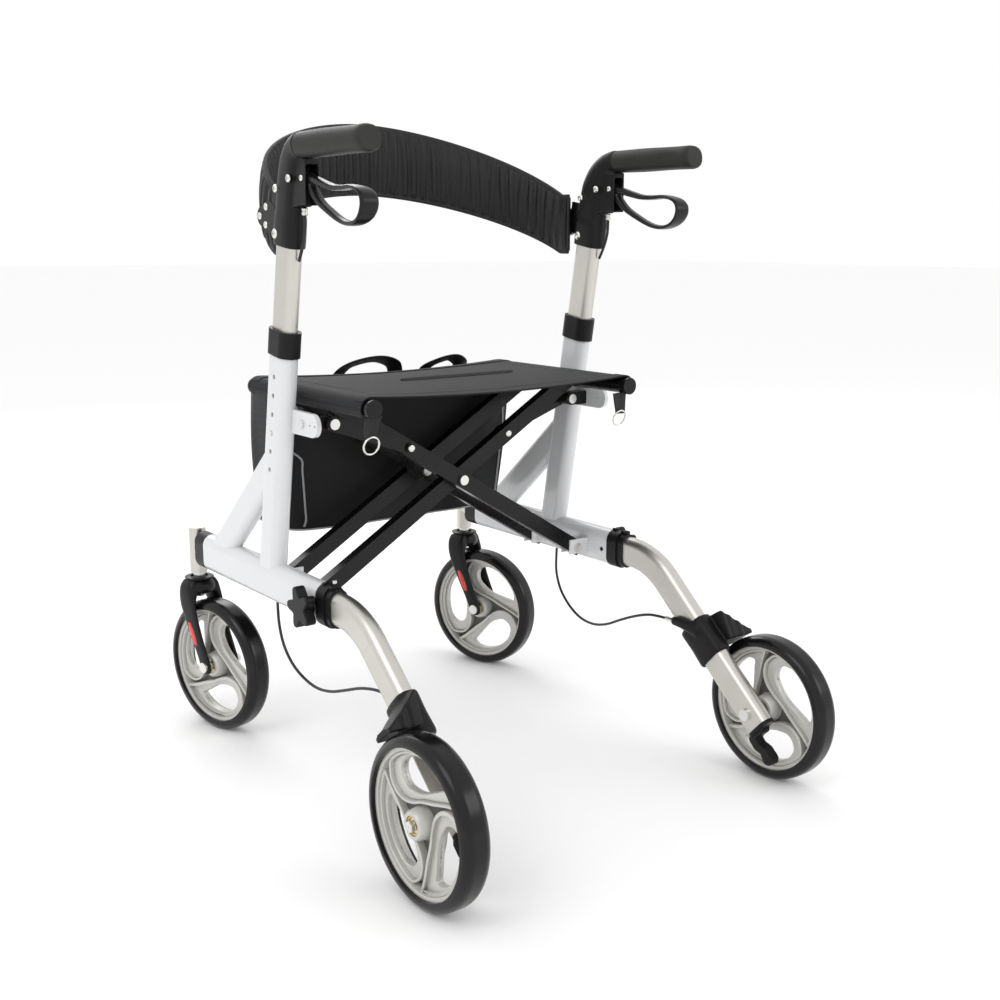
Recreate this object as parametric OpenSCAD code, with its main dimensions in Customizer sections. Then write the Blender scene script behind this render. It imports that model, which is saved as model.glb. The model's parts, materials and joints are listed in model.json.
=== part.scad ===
// Side-folding rollator walker. +X is the user's right, +Y is forward, +Z is up.
// The origin is on the floor, in the middle of the walker. Sizes are in millimetres.

/* [Overall] */
// Distance from the middle plane to the plane of each side frame
side_x = 248; // [244:1:254]
// Distance from the middle plane to each rear wheel
rear_wheel_x = 288; // [286:1:292]
// Place of the rear axles along Y
rear_axle_y = -312.5; // [-316:0.5:-308]
// Place of the caster stems along Y
stem_y = 350.5; // [346:0.5:356]
// Angle of the left caster at rest
left_caster_angle = 12.5; // [0:0.5:25]
// Angle of the right caster at rest
right_caster_angle = 18.5; // [0:0.5:25]

/* [Wheels] */
// Diameter of all four wheels
wheel_d = 200; // [196:1:204]
// Width of the tyres
tyre_w = 37; // [34:1:38]
// Distance that each caster's axle trails its stem
trail = 41; // [38:1:44]
// Diameter of the wheel axles
axle_d = 8; // [8:1:9]

/* [Side frame] */
// Height of the lower bar's centre line
bar_z = 276; // [274:1:280]
// Height of the lower bar's oval section
bar_h = 54; // [50:1:56]
// Width of the lower bar's oval section
bar_w = 30; // [28:1:32]
// Depth of the upright's oval section
up_depth = 48; // [46:1:50]
// Width of the upright's oval section
up_width = 26; // [25:1:28]
// Lean of the uprights towards the user
lean = 9.5; // [8:0.5:11]
// Distance between height holes
hole_pitch = 25; // [25:1:25]
// Number of height holes
hole_count = 6; // [4:1:6]

/* [Scissor] */
// Half the length of a cross bar between its pivots
half_bar = 247; // [245:1:249]
// Angle of the cross bars above level when open
open_angle = 31; // [30:0.5:32]
// Height of the lower pivots
low_pivot_z = 273; // [271:1:275]
// Height of a cross bar's rectangular section
cross_h = 22; // [20:1:24]
// Thickness of a cross bar's section
cross_t = 15; // [12:1:15]
// Distance from the centre pivot to a fold link's pivot
link_s = 108; // [106:1:110]

/* [Handles] */
// Height of the grips' centre line
grip_z = 838; // [834:1:842]
// Diameter of the grips
grip_d = 32; // [30:1:34]
// Length of the grips
grip_l = 150; // [130:1:160]
// Width of the brake levers
lever_w = 15; // [12:1:16]

/* [Soft goods] */
// Length of the seat tubes
seat_tube_l = 303; // [300:1:310]
// Diameter of the seat tubes
seat_tube_d = 22; // [20:1:24]
// Height of the shopping bag
bag_h = 205; // [180:5:210]
// Width of the shopping bag at its top
bag_w = 396; // [380:2:400]

/* [Hidden] */

wheel_r = wheel_d / 2;
rim_r = 86;
axle_r = axle_d / 2;
running_gap = 0.05;
clear = 0.5;
bolt_r = 4;

// Lower bar and what plugs into its ends
bar_front_y = 299;
bar_rear_y = -32;
bar_wall = 2;
head_collar_l = 29;
head_tube_r = 12.5;
head_z0 = 236;
head_z1 = 305;
leg_h = 44;
leg_w = 24;
leg_wall = 2;
leg_bend_r = 110;
leg_angle = 41.5;
leg_bend_y = rear_axle_y + leg_bend_r * sin(leg_angle)
    + (bar_z - wheel_r - leg_bend_r * (1 - cos(leg_angle))) / tan(leg_angle);
leg_end = 22;

// Upright: its axis passes through up_y, up_z, and s is the distance along it
up_y = 114;
up_z = 264;
up_s_top = 340;
up_s_bore = 45;
collar_s0 = 324;
collar_s1 = 357;
top_hole_s = 296;
button_s = top_hole_s - 3 * hole_pitch;
knob_y = -20.5;
tube_depth = 43.4;
tube_width = 21.4;
tube_s0 = 120;
tube_s1 = 530;
housing_s0 = 462;
brace_angle = -42;
brace_y = 180;
brace_z = 359;

// Scissor layers along Y: the rear pair and the front pair of cross bars
bar_b_y = 21.5;
bar_a_y = 37.5;
front_step = 90;
low_pivot_x = half_bar * cos(open_angle);
centre_z = low_pivot_z + half_bar * sin(open_angle);
seat_tube_x = low_pivot_x;
seat_tube_z = low_pivot_z + 2 * half_bar * sin(open_angle);
seat_tube_y0 = -91.5;
seat_tube_y1 = seat_tube_y0 + seat_tube_l;

// Fold links: the side frame's pivot sits where the link has one length open and folded
folded_angle = 75.9;
link_a = 2.7;
link_out = half_bar - link_s;
link_up = half_bar + link_s;
link_h = (pow(link_out * cos(folded_angle) - link_a, 2) + pow(link_up * sin(folded_angle), 2)
    - pow(link_out * cos(open_angle) - link_a, 2) - pow(link_up * sin(open_angle), 2))
    / (2 * link_up * (sin(folded_angle) - sin(open_angle)));
link_p1 = [-low_pivot_x + link_a, low_pivot_z + link_h];
link_p2 = [-link_s * cos(open_angle), centre_z + link_s * sin(open_angle)];
link_t = 6;
left_link_y = bar_b_y - cross_t / 2 - 1 - link_t;
right_link_y = bar_a_y + cross_t / 2 + 1;
pin_x = 211.7 - link_a;

// Backrest band, a half superellipse in plan
band_w = 244.5;
band_d = 185;
band_n = 1.8;
band_y = 89.5;
band_t = 12;
band_low = [712, 795];
band_high = [791, 890.5];
band_steps = 18;

// Brake, in the plane of the rear wheel
brake_a0 = 40;
brake_a1 = 84;
shoe_gap = 3.2;

// ---------- shared shapes ----------

// An oval: length l along X, thickness t along Y
module oval(l, t) {
    translate([-(l - t) / 2, 0]) circle(d = t, $fn = 48);
    translate([(l - t) / 2, 0]) circle(d = t, $fn = 48);
    square([l - t, t], center = true);
}

// A round-ended arm from p to q, with end radii rp and rq
module arm(p, rp, q, rq) {
    d = norm(q - p);
    a = atan2(q[1] - p[1], q[0] - p[0]);
    b = acos((rp - rq) / d);
    translate(p) circle(r = rp, $fn = 48);
    translate(q) circle(r = rq, $fn = 48);
    polygon([
        p + rp * [cos(a + b), sin(a + b)], p + rp * [cos(a - b), sin(a - b)],
        q + rq * [cos(a - b), sin(a - b)], q + rq * [cos(a + b), sin(a + b)]
    ]);
}

// A chain of arms through a list of [x, y, r]
module arm_chain(pts) {
    for (i = [0 : len(pts) - 2])
        arm([pts[i][0], pts[i][1]], pts[i][2], [pts[i + 1][0], pts[i + 1][1]], pts[i + 1][2]);
}

// Stand a flat shape drawn in (y, z) up in the YZ plane, w wide about x
module in_yz(x, w) {
    translate([x - w / 2, 0, 0]) rotate([90, 0, 90]) linear_extrude(w) children();
}

// Stand a flat shape drawn in (x, z) up in the XZ plane, from y0 to y0 + t
module in_xz(y0, t) {
    translate([0, y0 + t, 0]) rotate([90, 0, 0]) linear_extrude(t) children();
}

module rod_x(x0, x1, y, z, r) {
    translate([x0, y, z]) rotate([0, 90, 0]) cylinder(r = r, h = x1 - x0, $fn = 48);
}

module rod_y(y0, y1, x, z, r) {
    translate([x, y1, z]) rotate([90, 0, 0]) cylinder(r = r, h = y1 - y0, $fn = 48);
}

// Put children in the left upright's own frame: Z along its axis, Y across its depth
module on_upright() {
    translate([-side_x, up_y, up_z]) rotate([lean, 0, 0]) children();
}

module upright_prism(l, t, s0, s1) {
    on_upright() translate([0, 0, s0]) rotate([0, 0, 90]) linear_extrude(s1 - s0) oval(l, t);
}

// A tube swept along points: ring corners, then the faces between them
function unit(v) = v / norm(v);
function path_dir(p, i) = unit(p[min(i + 1, len(p) - 1)] - p[max(i - 1, 0)]);
function side_of(d) = abs(d[0]) > 0.9 ? unit(cross(d, [0, 1, 0])) : unit(cross(d, [1, 0, 0]));
function ring(c, d, r, n) = [
    for (k = [0 : n - 1]) let (u = side_of(d), v = cross(d, u), a = 360 * k / n)
        c + r * (cos(a) * u + sin(a) * v)
];
function smooth_path(p, m) = [
    for (i = [0 : len(p) - 2]) for (k = [0 : m - 1]) let (
        t = k / m, a = p[max(i - 1, 0)], b = p[i], c = p[i + 1], d = p[min(i + 2, len(p) - 1)]
    ) 0.5 * (2 * b + t * (c - a) + t * t * (2 * a - 5 * b + 4 * c - d)
        + t * t * t * (3 * b - a - 3 * c + d)),
    p[len(p) - 1]
];

module swept_tube(path, r, n) {
    pts = [for (i = [0 : len(path) - 1]) each ring(path[i], path_dir(path, i), r, n)];
    last = (len(path) - 1) * n;
    sides = [
        for (i = [0 : len(path) - 2]) for (k = [0 : n - 1]) let (j = (k + 1) % n)
            each [[(i + 1) * n + j, i * n + j, i * n + k], [(i + 1) * n + k, (i + 1) * n + j, i * n + k]]
    ];
    ends = [[for (k = [0 : n - 1]) k], [for (k = [n - 1 : -1 : 0]) last + k]];
    polyhedron(points = pts, faces = concat(sides, ends));
}

// ---------- side frame ----------

module bar_prism(h, w, y0, y1) {
    translate([-side_x, y1, bar_z]) rotate([90, 0, 0]) rotate([0, 0, 90]) linear_extrude(y1 - y0) oval(h, w);
}

module brace_prism(h, w, s0, s1) {
    translate([-side_x, brace_y, brace_z]) rotate([brace_angle, 0, 0]) translate([0, s1, 0])
        rotate([90, 0, 0]) rotate([0, 0, 90]) linear_extrude(s1 - s0) oval(h, w);
}

// Two U-brackets that hold the lower ends of cross bars centred at y
module pivot_brackets(y) {
    for (dy = [0, front_step]) {
        for (s = [-1, 1])
            translate([-side_x + bar_w / 2, y + dy + s * (cross_t / 2 + clear + 1.5) - 1.5, low_pivot_z - 10])
                cube([35, 3, 22]);
        translate([-side_x + bar_w / 2 - 1, y + dy - cross_t / 2 - 3.4, low_pivot_z - 9.4])
            cube([4, cross_t + 6.8, 20]);
    }
}

module side_frame(bracket_y, pin_y) {
    tab = [[62, 484], [62, 515], [0, 514], [0, 484]];
    difference() {
        union() {
            upright_prism(up_depth, up_width, 20, up_s_top);
            bar_prism(bar_h, bar_w, bar_rear_y, bar_front_y);
            brace_prism(46, 24, -122, 113);
            in_yz(-242, 6) union() {
                polygon(tab);
                translate([0, 499]) circle(r = 15, $fn = 48);
            }
            pivot_brackets(bracket_y);
        }
        upright_prism(44, 22, up_s_bore, up_s_top + 1);
        bar_prism(bar_h - 2 * bar_wall, bar_w - 2 * bar_wall, bar_rear_y - 1, bar_front_y + 1);
        brace_prism(42, 20, -65, 80);
        for (i = [0 : hole_count - 1])
            on_upright() translate([-20, 0, top_hole_s - i * hole_pitch]) rotate([0, 90, 0])
                cylinder(r = 3.3, h = 12, $fn = 32);
        rod_x(-side_x - 20, -side_x + 20, knob_y, low_pivot_z, 3.4);
        for (dy = [0, front_step])
            rod_y(bracket_y + dy - 20, bracket_y + dy + 20, -low_pivot_x, low_pivot_z, bolt_r + running_gap);
        rod_x(-250, -230, pin_y, 499, 3.05);
        for (y = [-8, 4]) rod_x(-250, -230, y, 499, 1.6);
        translate([-side_x, 100, bar_z - 30]) cylinder(r = 2.6, h = 10, $fn = 32);
    }
}

// Collars on the upright's top and the bar's ends, and the bracket that holds the link's pin
module side_fittings(pin_y) {
    difference() {
        upright_prism(53, 31, collar_s0, collar_s1);
        upright_prism(up_depth, up_width, collar_s0 - 1, up_s_top);
        upright_prism(44.4, 22.4, collar_s0, collar_s1 + 1);
    }
    difference() {
        bar_prism(bar_h, bar_w, bar_front_y, bar_front_y + head_collar_l);
        translate([-side_x, bar_front_y - 1, bar_z - 6]) rotate([-90, 0, 0])
            cylinder(r = 11.05, h = head_collar_l + 2, $fn = 48);
    }
    difference() {
        union() {
            bar_prism(bar_h + 2, bar_w + 2, bar_rear_y - 20, bar_rear_y);
            bar_prism(bar_h - 3, bar_w - 2, bar_rear_y - 31, bar_rear_y - 19);
            for (y = [bar_rear_y - 7, bar_rear_y - 26]) in_xz(y, 5) translate([-side_x, 302]) arm([-5, 0], 3, [4, 3], 2);
        }
        bar_prism(leg_h, leg_w, bar_rear_y - 40, bar_rear_y + 1);
    }
    difference() {
        union() {
            translate([-239, pin_y - 9, 488]) cube([20, 18, 19]);
            rod_y(pin_y - 9, pin_y + 9, -pin_x, link_p1[1], 9.5);
            translate([-222, pin_y - 9, link_p1[1] - 9.5]) cube([12, 18, 19]);
        }
        rod_y(pin_y - 10, pin_y + 10, -pin_x, link_p1[1], bolt_r + running_gap);
        rod_x(-240, -230, pin_y, 499, 3.05);
    }
}

module hex_head(y, x, z, r, t) {
    translate([x, y + t, z]) rotate([90, 0, 0]) cylinder(r = r, h = t, $fn = 6);
}

// Bracket bolts, the link's pin and the screw in the tab
module side_bolts(bracket_y, pin_y, pin_dir) {
    reach = cross_t / 2 + clear + 3;
    for (dy = [0, front_step]) {
        rod_y(bracket_y + dy - reach, bracket_y + dy + reach, -low_pivot_x, low_pivot_z, bolt_r);
        rod_y(bracket_y + dy - reach - 3.5, bracket_y + dy - reach, -low_pivot_x, low_pivot_z, 6.5);
        hex_head(bracket_y + dy + reach, -low_pivot_x, low_pivot_z, 7, 4.5);
    }
    y0 = pin_dir < 0 ? pin_y - 9 - 1.5 - link_t : pin_y - 9;
    y1 = pin_dir < 0 ? pin_y + 9 : pin_y + 9 + 1.5 + link_t;
    rod_y(y0, y1, -pin_x, link_p1[1], bolt_r);
    rod_y(y0 - 4, y0, -pin_x, link_p1[1], 7);
    hex_head(y1, -pin_x, link_p1[1], 7, 4.5);
    rod_x(-246, -231, pin_y, 499, 3);
    rod_x(-248, -245, pin_y, 499, 5);
}

// Bent oval leg: straight in the bar, an arc, then straight past the axle
// The bend's own section differs by swell, and the straight parts run 1 mm into it
module leg_shape(h, w, extra, swell) {
    bend_z = bar_z - leg_bend_r;
    bar_prism(h, w, leg_bend_y - 1, 60 + extra);
    translate([-side_x, leg_bend_y, bend_z]) rotate([90, 0, 0]) rotate([0, 90, 0])
        rotate_extrude(angle = leg_angle, start = 90, $fn = 96) translate([leg_bend_r, 0]) oval(h + swell, w + swell);
    translate([-side_x, leg_bend_y - leg_bend_r * sin(leg_angle), bend_z + leg_bend_r * cos(leg_angle)])
        rotate([leg_angle, 0, 0]) translate([0, 1, 0]) rotate([90, 0, 0]) rotate([0, 0, 90])
            linear_extrude(leg_straight + leg_end + extra + 1) oval(h, w);
}

leg_straight = norm([rear_axle_y - leg_bend_y + leg_bend_r * sin(leg_angle),
    wheel_r - bar_z + leg_bend_r * (1 - cos(leg_angle))]);

module side_leg() {
    difference() {
        leg_shape(leg_h, leg_w, 0, 0.4);
        leg_shape(leg_h - 2 * leg_wall, leg_w - 2 * leg_wall, 1, -0.4);
        rod_x(-side_x - 20, -side_x + 20, rear_axle_y, wheel_r, axle_r + running_gap);
        rod_x(-side_x - 20, -side_x + 20, knob_y, low_pivot_z, 3.4);
    }
}

module side_head_tube() {
    difference() {
        union() {
            translate([-side_x, stem_y, head_z0]) cylinder(r = head_tube_r, h = head_z1 - head_z0, $fn = 64);
            rod_y(250, stem_y, -side_x, bar_z - 6, 11);
            bar_prism(bar_h - 2 * bar_wall - 0.2, bar_w - 2 * bar_wall - 0.2, 240, 292);
        }
        translate([-side_x, stem_y, head_z0 - 1]) cylinder(r = 9.5, h = head_z1 - head_z0 - 3, $fn = 64);
    }
}

// Put a point on the leg's straight part: s is the distance back from the axle
function leg_at(s) = [rear_axle_y + s * cos(leg_angle), wheel_r + s * sin(leg_angle)];

// Place children on the leg, with Y running up the leg from the axle
module on_leg() {
    translate([-side_x, rear_axle_y, wheel_r]) rotate([leg_angle, 0, 0]) children();
}

// Flat sector of a ring about the rear wheel's axle, drawn in (y, z) from angle a0 to a1
module ring_sector(r0, r1, a0, a1) {
    intersection() {
        difference() {
            circle(r = r1, $fn = 96);
            circle(r = r0, $fn = 96);
        }
        polygon([[0, 0], 200 * [cos(a0), sin(a0)], 200 * [cos((a0 + a1) / 2), sin((a0 + a1) / 2)],
            200 * [cos(a1), sin(a1)]]);
    }
}

module about_rear_axle(x, w) {
    translate([0, rear_axle_y, wheel_r]) in_yz(x, w) children();
}

module side_brake_housing(lug_z) {
    difference() {
        union() {
            on_leg() translate([0, 138, 0]) rotate([90, 0, 0]) rotate([0, 0, 90]) linear_extrude(58) oval(52, 32);
            about_rear_axle(-(side_x + rear_wheel_x + 20) / 2, rear_wheel_x + 20 - side_x)
                ring_sector(wheel_r + 3, wheel_r + 26, brake_a0, brake_a1);
        }
        leg_shape(leg_h, leg_w, 0, 0.4);
        about_rear_axle(-rear_wheel_x, 31) ring_sector(wheel_r + 2, wheel_r + 21, brake_a0 + 4, brake_a1 - 4);
    }
    rod_x(-rear_wheel_x - 15.5, -rear_wheel_x + 15.5, shoe_pivot[0], shoe_pivot[1], 3);
    // Lug that takes the end of the cable's outer
    difference() {
        rod_y(-216 - (lug_z - 184) / 2, -172, -231, lug_z, 4.4);
        rod_y(-178, -171, -231, lug_z, 3.3);
    }
}

shoe_pivot_a = brake_a1 - 9;
shoe_pivot = [rear_axle_y + (wheel_r + 13) * cos(shoe_pivot_a), wheel_r + (wheel_r + 13) * sin(shoe_pivot_a)];

module side_brake_shoe() {
    difference() {
        union() {
            about_rear_axle(-rear_wheel_x, 29) ring_sector(wheel_r + shoe_gap, wheel_r + 13, brake_a0 + 7, brake_a1 - 9);
            rod_x(-rear_wheel_x - 14.5, -rear_wheel_x + 14.5, shoe_pivot[0], shoe_pivot[1], 6);
        }
        rod_x(-rear_wheel_x - 16, -rear_wheel_x + 16, shoe_pivot[0], shoe_pivot[1], 3 + running_gap);
    }
}

// Plug in the leg's end with a curved foot for tipping the walker over kerbs
module side_tip_lever() {
    on_leg() translate([0, -6, 0]) rotate([90, 0, 0]) rotate([0, 0, 90]) linear_extrude(leg_end - 5) oval(leg_h - 4.2, leg_w - 4.2);
    on_leg() translate([0, -leg_end, 0]) rotate([90, 0, 0]) rotate([0, 0, 90]) linear_extrude(5) oval(leg_h, leg_w);
    in_yz(-side_x, 16) arm_chain([[-332, 83, 7], [-324, 74, 6], [-322, 66, 6], [-330, 58, 6], [-341, 55, 6], [-349, 45, 8]]);
}

module side_rear_axle() {
    difference() {
        union() {
            rod_x(-rear_wheel_x - 22, -side_x + 12, rear_axle_y, wheel_r, axle_r);
            rod_x(-side_x + 12, -side_x + 17, rear_axle_y, wheel_r, 8);
            rod_x(-rear_wheel_x + 21, -side_x - 12, rear_axle_y, wheel_r, 9);
            translate([-rear_wheel_x - 24.4, rear_axle_y, wheel_r]) rotate([0, 90, 0]) cylinder(r = 7, h = 4, $fn = 6);
        }
        rod_x(-rear_wheel_x - 40, -rear_wheel_x - 24, rear_axle_y, wheel_r, 1.5);
    }
}

// Five-armed clamp knob with its stud
module side_star_knob() {
    translate([-side_x - bar_w / 2 - clear, knob_y, low_pivot_z]) rotate([0, -90, 0]) {
        cylinder(r = 10.5, h = 8, $fn = 48);
        translate([0, 0, 6]) linear_extrude(14) {
            circle(r = 15, $fn = 48);
            for (i = [0 : 4]) rotate(72 * i + 90) arm([0, 0], 12, [22, 0], 6);
        }
    }
    rod_x(-side_x - bar_w / 2 - clear - 6, -side_x + bar_w / 2 + 1, knob_y, low_pivot_z, 3.3);
}

// Brake cable from the hole under the bar to the brake housing, by hand-chosen points
left_cable_points = [
    [-248, 100, 252], [-248, 100, 238], [-247, 99, 214], [-245, 92, 188], [-242, 76, 166], [-239, 52, 152],
    [-237, 20, 146], [-235, -14, 150], [-233, -50, 162], [-232, -86, 175], [-231, -124, 183], [-231, -164, 184]
];
right_cable_points = [
    [-248, 100, 252], [-247, 100, 238], [-245, 97, 210], [-242, 82, 184], [-240, 58, 164], [-238, 30, 152],
    [-236, -2, 150], [-234, -34, 158], [-232, -66, 173], [-231, -98, 187], [-231, -130, 197], [-231, -164, 200]
];

module side_lower_cable(points) {
    swept_tube(smooth_path(points, 4), 2, 8);
    // Ferrule in the brake housing's lug
    end = points[len(points) - 1];
    translate([end[0], end[1] + 2, end[2]]) rotate([90, 0, 0]) cylinder(r = 3.2, h = 14, $fn = 32);
}

// ---------- casters and wheels ----------

// Put children in the frame of a caster: origin on the floor under its stem
module at_caster(side, angle) {
    translate([side * side_x, stem_y, 0]) rotate([0, 0, angle]) children();
}

module fork() {
    slot_w = 44;
    difference() {
        union() {
            intersection() {
                in_yz(0, 58) union() {
                    arm([-3, 208], 24, [-trail, wheel_r], 12);
                    arm([0, 214], 20, [-8, 195], 26);
                }
                union() {
                    translate([0, -4, 186]) cylinder(r = 30, h = 46, $fn = 64);
                    translate([-30, -100, 60]) cube([60, 140, 130]);
                }
                translate([-60, -120, 60]) cube([120, 200, 165]);
            }
            translate([0, 0, 224]) cylinder(r = 16, h = 4, $fn = 48);
            translate([0, 0, 227]) cylinder(r = 21, h = 3, $fn = 64);
        }
        intersection() {
            rod_x(-slot_w / 2, slot_w / 2, -trail, wheel_r, wheel_r + 4);
            translate([-slot_w / 2, -200, 0]) cube([slot_w, 400, 206]);
        }
        rod_x(-40, 40, -trail, wheel_r, axle_r);
        translate([0, 0, 180]) cylinder(r = 9, h = 26, $fn = 48);
        translate([0, 0, 190]) cylinder(r = 5, h = 60, $fn = 48);
    }
}

// Stem bolt with its washers, and the wheel's axle bolt with spacers and nut
module caster_bolts() {
    translate([0, 0, 200]) cylinder(r = 5, h = 94, $fn = 48);
    translate([0, 0, 199]) cylinder(r = 8, h = 7, $fn = 6);
    translate([0, 0, 230]) cylinder(r = 9, h = 5, $fn = 48);
    translate([0, 0, 240]) cylinder(r = 9.45, h = 8, $fn = 48);
    translate([0, 0, 280]) cylinder(r = 9.45, h = 8, $fn = 48);
    rod_x(-30, 30, -trail, wheel_r, axle_r);
    rod_x(-32, -29, -trail, wheel_r, 8);
    rod_x(-22, -18.5, -trail, wheel_r, 8);
    rod_x(18.5, 22, -trail, wheel_r, 8);
    translate([29, -trail, wheel_r]) rotate([0, 90, 0]) cylinder(r = 7, h = 6, $fn = 6);
}

// Both wheel parts turn about X, with their centre at the origin
module tyre() {
    corner = 13;
    rotate([0, 90, 0]) rotate_extrude($fn = 128) {
        translate([rim_r, -tyre_w / 2]) square([1, tyre_w]);
        translate([rim_r + 1, -tyre_w / 2]) square([wheel_r - corner - rim_r - 1 + 0.001, tyre_w]);
        intersection() {
            union() {
                for (s = [-1, 1]) translate([wheel_r - corner, s * (tyre_w / 2 - corner)]) circle(r = corner, $fn = 64);
                translate([wheel_r - corner, -tyre_w / 2 + corner]) square([corner, tyre_w - 2 * corner]);
            }
            translate([wheel_r - corner, -tyre_w]) square([corner, 2 * tyre_w]);
        }
    }
}

// Rim with three curved spokes, and the two bearings in its hub
module rim(hub_w) {
    rotate([0, 90, 0]) difference() {
        union() {
            rotate_extrude($fn = 128) {
                translate([74, -13]) square([rim_r - 74, 26]);
                translate([20, -5]) square([56, 10]);
                translate([11, -hub_w / 2]) square([9, hub_w]);
                translate([axle_r + 1.5, -hub_w / 2 + 8]) square([7, hub_w - 16]);
            }
        }
        for (i = [0 : 2]) rotate(120 * i) translate([0, 0, -10]) linear_extrude(20)
            ring_sector(28, 70, -26, 26);
    }
    for (s = [-1, 1])
        difference() {
            rod_x(s * (hub_w / 2 - 4) - 3.5, s * (hub_w / 2 - 4) + 3.5, 0, 0, 10.9);
            rod_x(-hub_w, hub_w, 0, 0, axle_r + running_gap);
        }
}

// ---------- handle ----------

module side_handle_tube() {
    difference() {
        upright_prism(tube_depth, tube_width, tube_s0, tube_s1);
        upright_prism(tube_depth - 3, tube_width - 3, tube_s0 - 1, tube_s1 + 1);
        on_upright() translate([-20, 0, button_s]) rotate([0, 90, 0]) cylinder(r = 3.3, h = 14, $fn = 32);
    }
}

// Snap button on its leaf spring
module side_snap_button() {
    on_upright() {
        translate([-14, 0, button_s]) rotate([0, 90, 0]) cylinder(r = 3, h = 6.8, $fn = 32);
        translate([-7.9, -4, button_s - 22]) cube([0.8, 8, 26]);
    }
}

grip_y0 = -15;
grip_x = side_x + 6;

// Elbow housing that holds the grip and the brake lever
module side_handle_housing() {
    difference() {
        union() {
            upright_prism(52, 31, housing_s0, 545);
            in_yz(-side_x, 29) difference() {
                union() {
                    arm([16, 800], 28, [14, 825], 27.5);
                    translate([grip_y0, 822]) square([34, 30]);
                    translate([-12, 775]) square([30, 60]);
                }
                translate([grip_y0 - 10, 740]) square([10, 200]);
            }
            in_yz(-side_x, 20) translate([-25, 766]) square([40, 56]);
        }
        upright_prism(tube_depth, tube_width, housing_s0 - 1, tube_s1);
        in_yz(-side_x, lever_w + 1) translate([-40, 760]) square([38, 64]);
        rod_x(-side_x - 12, -side_x + 12, lever_pivot[0], lever_pivot[1], 2.5);
    }
}

lever_pivot = [-14, 800];

module side_grip() {
    difference() {
        union() {
            rod_y(grip_y0 - grip_l, grip_y0, -grip_x, grip_z, grip_d / 2);
            in_yz(-grip_x, 34) translate([grip_y0 - grip_l + 4, grip_z - 12]) square([50, 22]);
        }
        in_yz(-grip_x, 60) polygon([[grip_y0 - grip_l - 1, 800], [grip_y0 - grip_l + 16, 800], [grip_y0 - grip_l - 1, 850]]);
    }
}

// Loop lever on its pin
module side_brake_lever() {
    difference() {
        union() {
            in_yz(-side_x, lever_w) union() {
                arm_chain([
                    [-14, 800, 7], [-45, 793, 4.5], [-85, 783, 3.5], [-122, 783, 3.5], [-158, 776, 3.5],
                    [-163, 764, 4], [-156, 752, 4.5], [-128, 740, 3.5], [-100, 739, 3.5], [-48, 762, 3.5], [-22, 790, 4]
                ]);
            }
            rod_x(-side_x - 10, -side_x + 10, lever_pivot[0], lever_pivot[1], 2.45);
        }
    }
}

// Short cable from the lever's adjuster to the grommet in the telescopic tube
module side_upper_cable() {
    points = [[-248, -3, 764], [-248, -3, 752], [-248, -2, 738], [-248, 2.5, 724], [-248, 8.5, 712], [-248, 14.5, 702]];
    swept_tube(smooth_path(points, 3), 2, 8);
    translate([-248, -3, 758]) cylinder(r = 4, h = 7.7, $fn = 32);
    on_upright() translate([0, -tube_depth / 2 - 3.8, 438]) cylinder(r = 3.5, h = 22, $fn = 32);
}

plate_rivets = [[90, 768], [107, 757], [92, 746]];

module side_backrest_plate() {
    difference() {
        union() {
            on_upright() translate([-2.5, 26.2, 476]) cube([5, 20, 44]);
            in_yz(-side_x, 6) arm([84, 755], 20, [103, 757], 12);
        }
        for (p = plate_rivets) rod_x(-side_x - 10, -side_x + 10, p[0], p[1], 2.5);
        upright_prism(53, 31, 400, 560);
    }
}

// ---------- scissor ----------

// A cross bar from its lower pivot at the right or left to the seat tube on the other side
module cross_bar(lower_side, y) {
    a = lower_side > 0 ? 180 - open_angle : open_angle;
    difference() {
        translate([0, y + cross_t / 2, centre_z]) rotate([90, 0, 0]) rotate([0, 0, a])
            linear_extrude(cross_t) translate([-half_bar - 10, -cross_h / 2])
                square([2 * half_bar + 6, cross_h]);
        rod_y(y - 20, y + 20, lower_side * low_pivot_x, low_pivot_z, bolt_r + running_gap);
        rod_y(y - 20, y + 20, 0, centre_z, bolt_r + running_gap);
        rod_y(y - 20, y + 20, -lower_side * seat_tube_x, seat_tube_z, seat_tube_d / 2 + 0.05);
        translate([0, y + cross_t / 2 - 1.5, centre_z]) rotate([90, 0, 0]) rotate([0, 0, a])
            linear_extrude(cross_t - 3) {
                translate([-half_bar + 12, -cross_h / 2 + 1.5]) square([half_bar - 24, cross_h - 3]);
                translate([12, -cross_h / 2 + 1.5]) square([half_bar - 30, cross_h - 3]);
            }
    }
}

module cross_bars(lower_side, y) {
    for (dy = [0, front_step]) cross_bar(lower_side, y + dy);
}

module centre_bolts() {
    for (dy = [0, front_step]) {
        y0 = bar_b_y - cross_t / 2 + dy;
        y1 = bar_a_y + cross_t / 2 + dy;
        rod_y(y0 - 0.4, y1, 0, centre_z, bolt_r);
        rod_y(y0 - 4.4, y0 - 0.4, 0, centre_z, 7);
        hex_head(y1, 0, centre_z, 7, 5);
    }
}

module fold_link(y, rivet_y) {
    rod_y(rivet_y, rivet_y + 3.2, link_p2[0], link_p2[1], 6.5);
    in_xz(y, link_t) difference() {
        arm([link_p1[0], link_p1[1]], 9.5, [link_p2[0], link_p2[1]], 8.5);
        translate([link_p1[0], link_p1[1]]) circle(r = bolt_r + running_gap, $fn = 48);
    }
}

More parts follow.
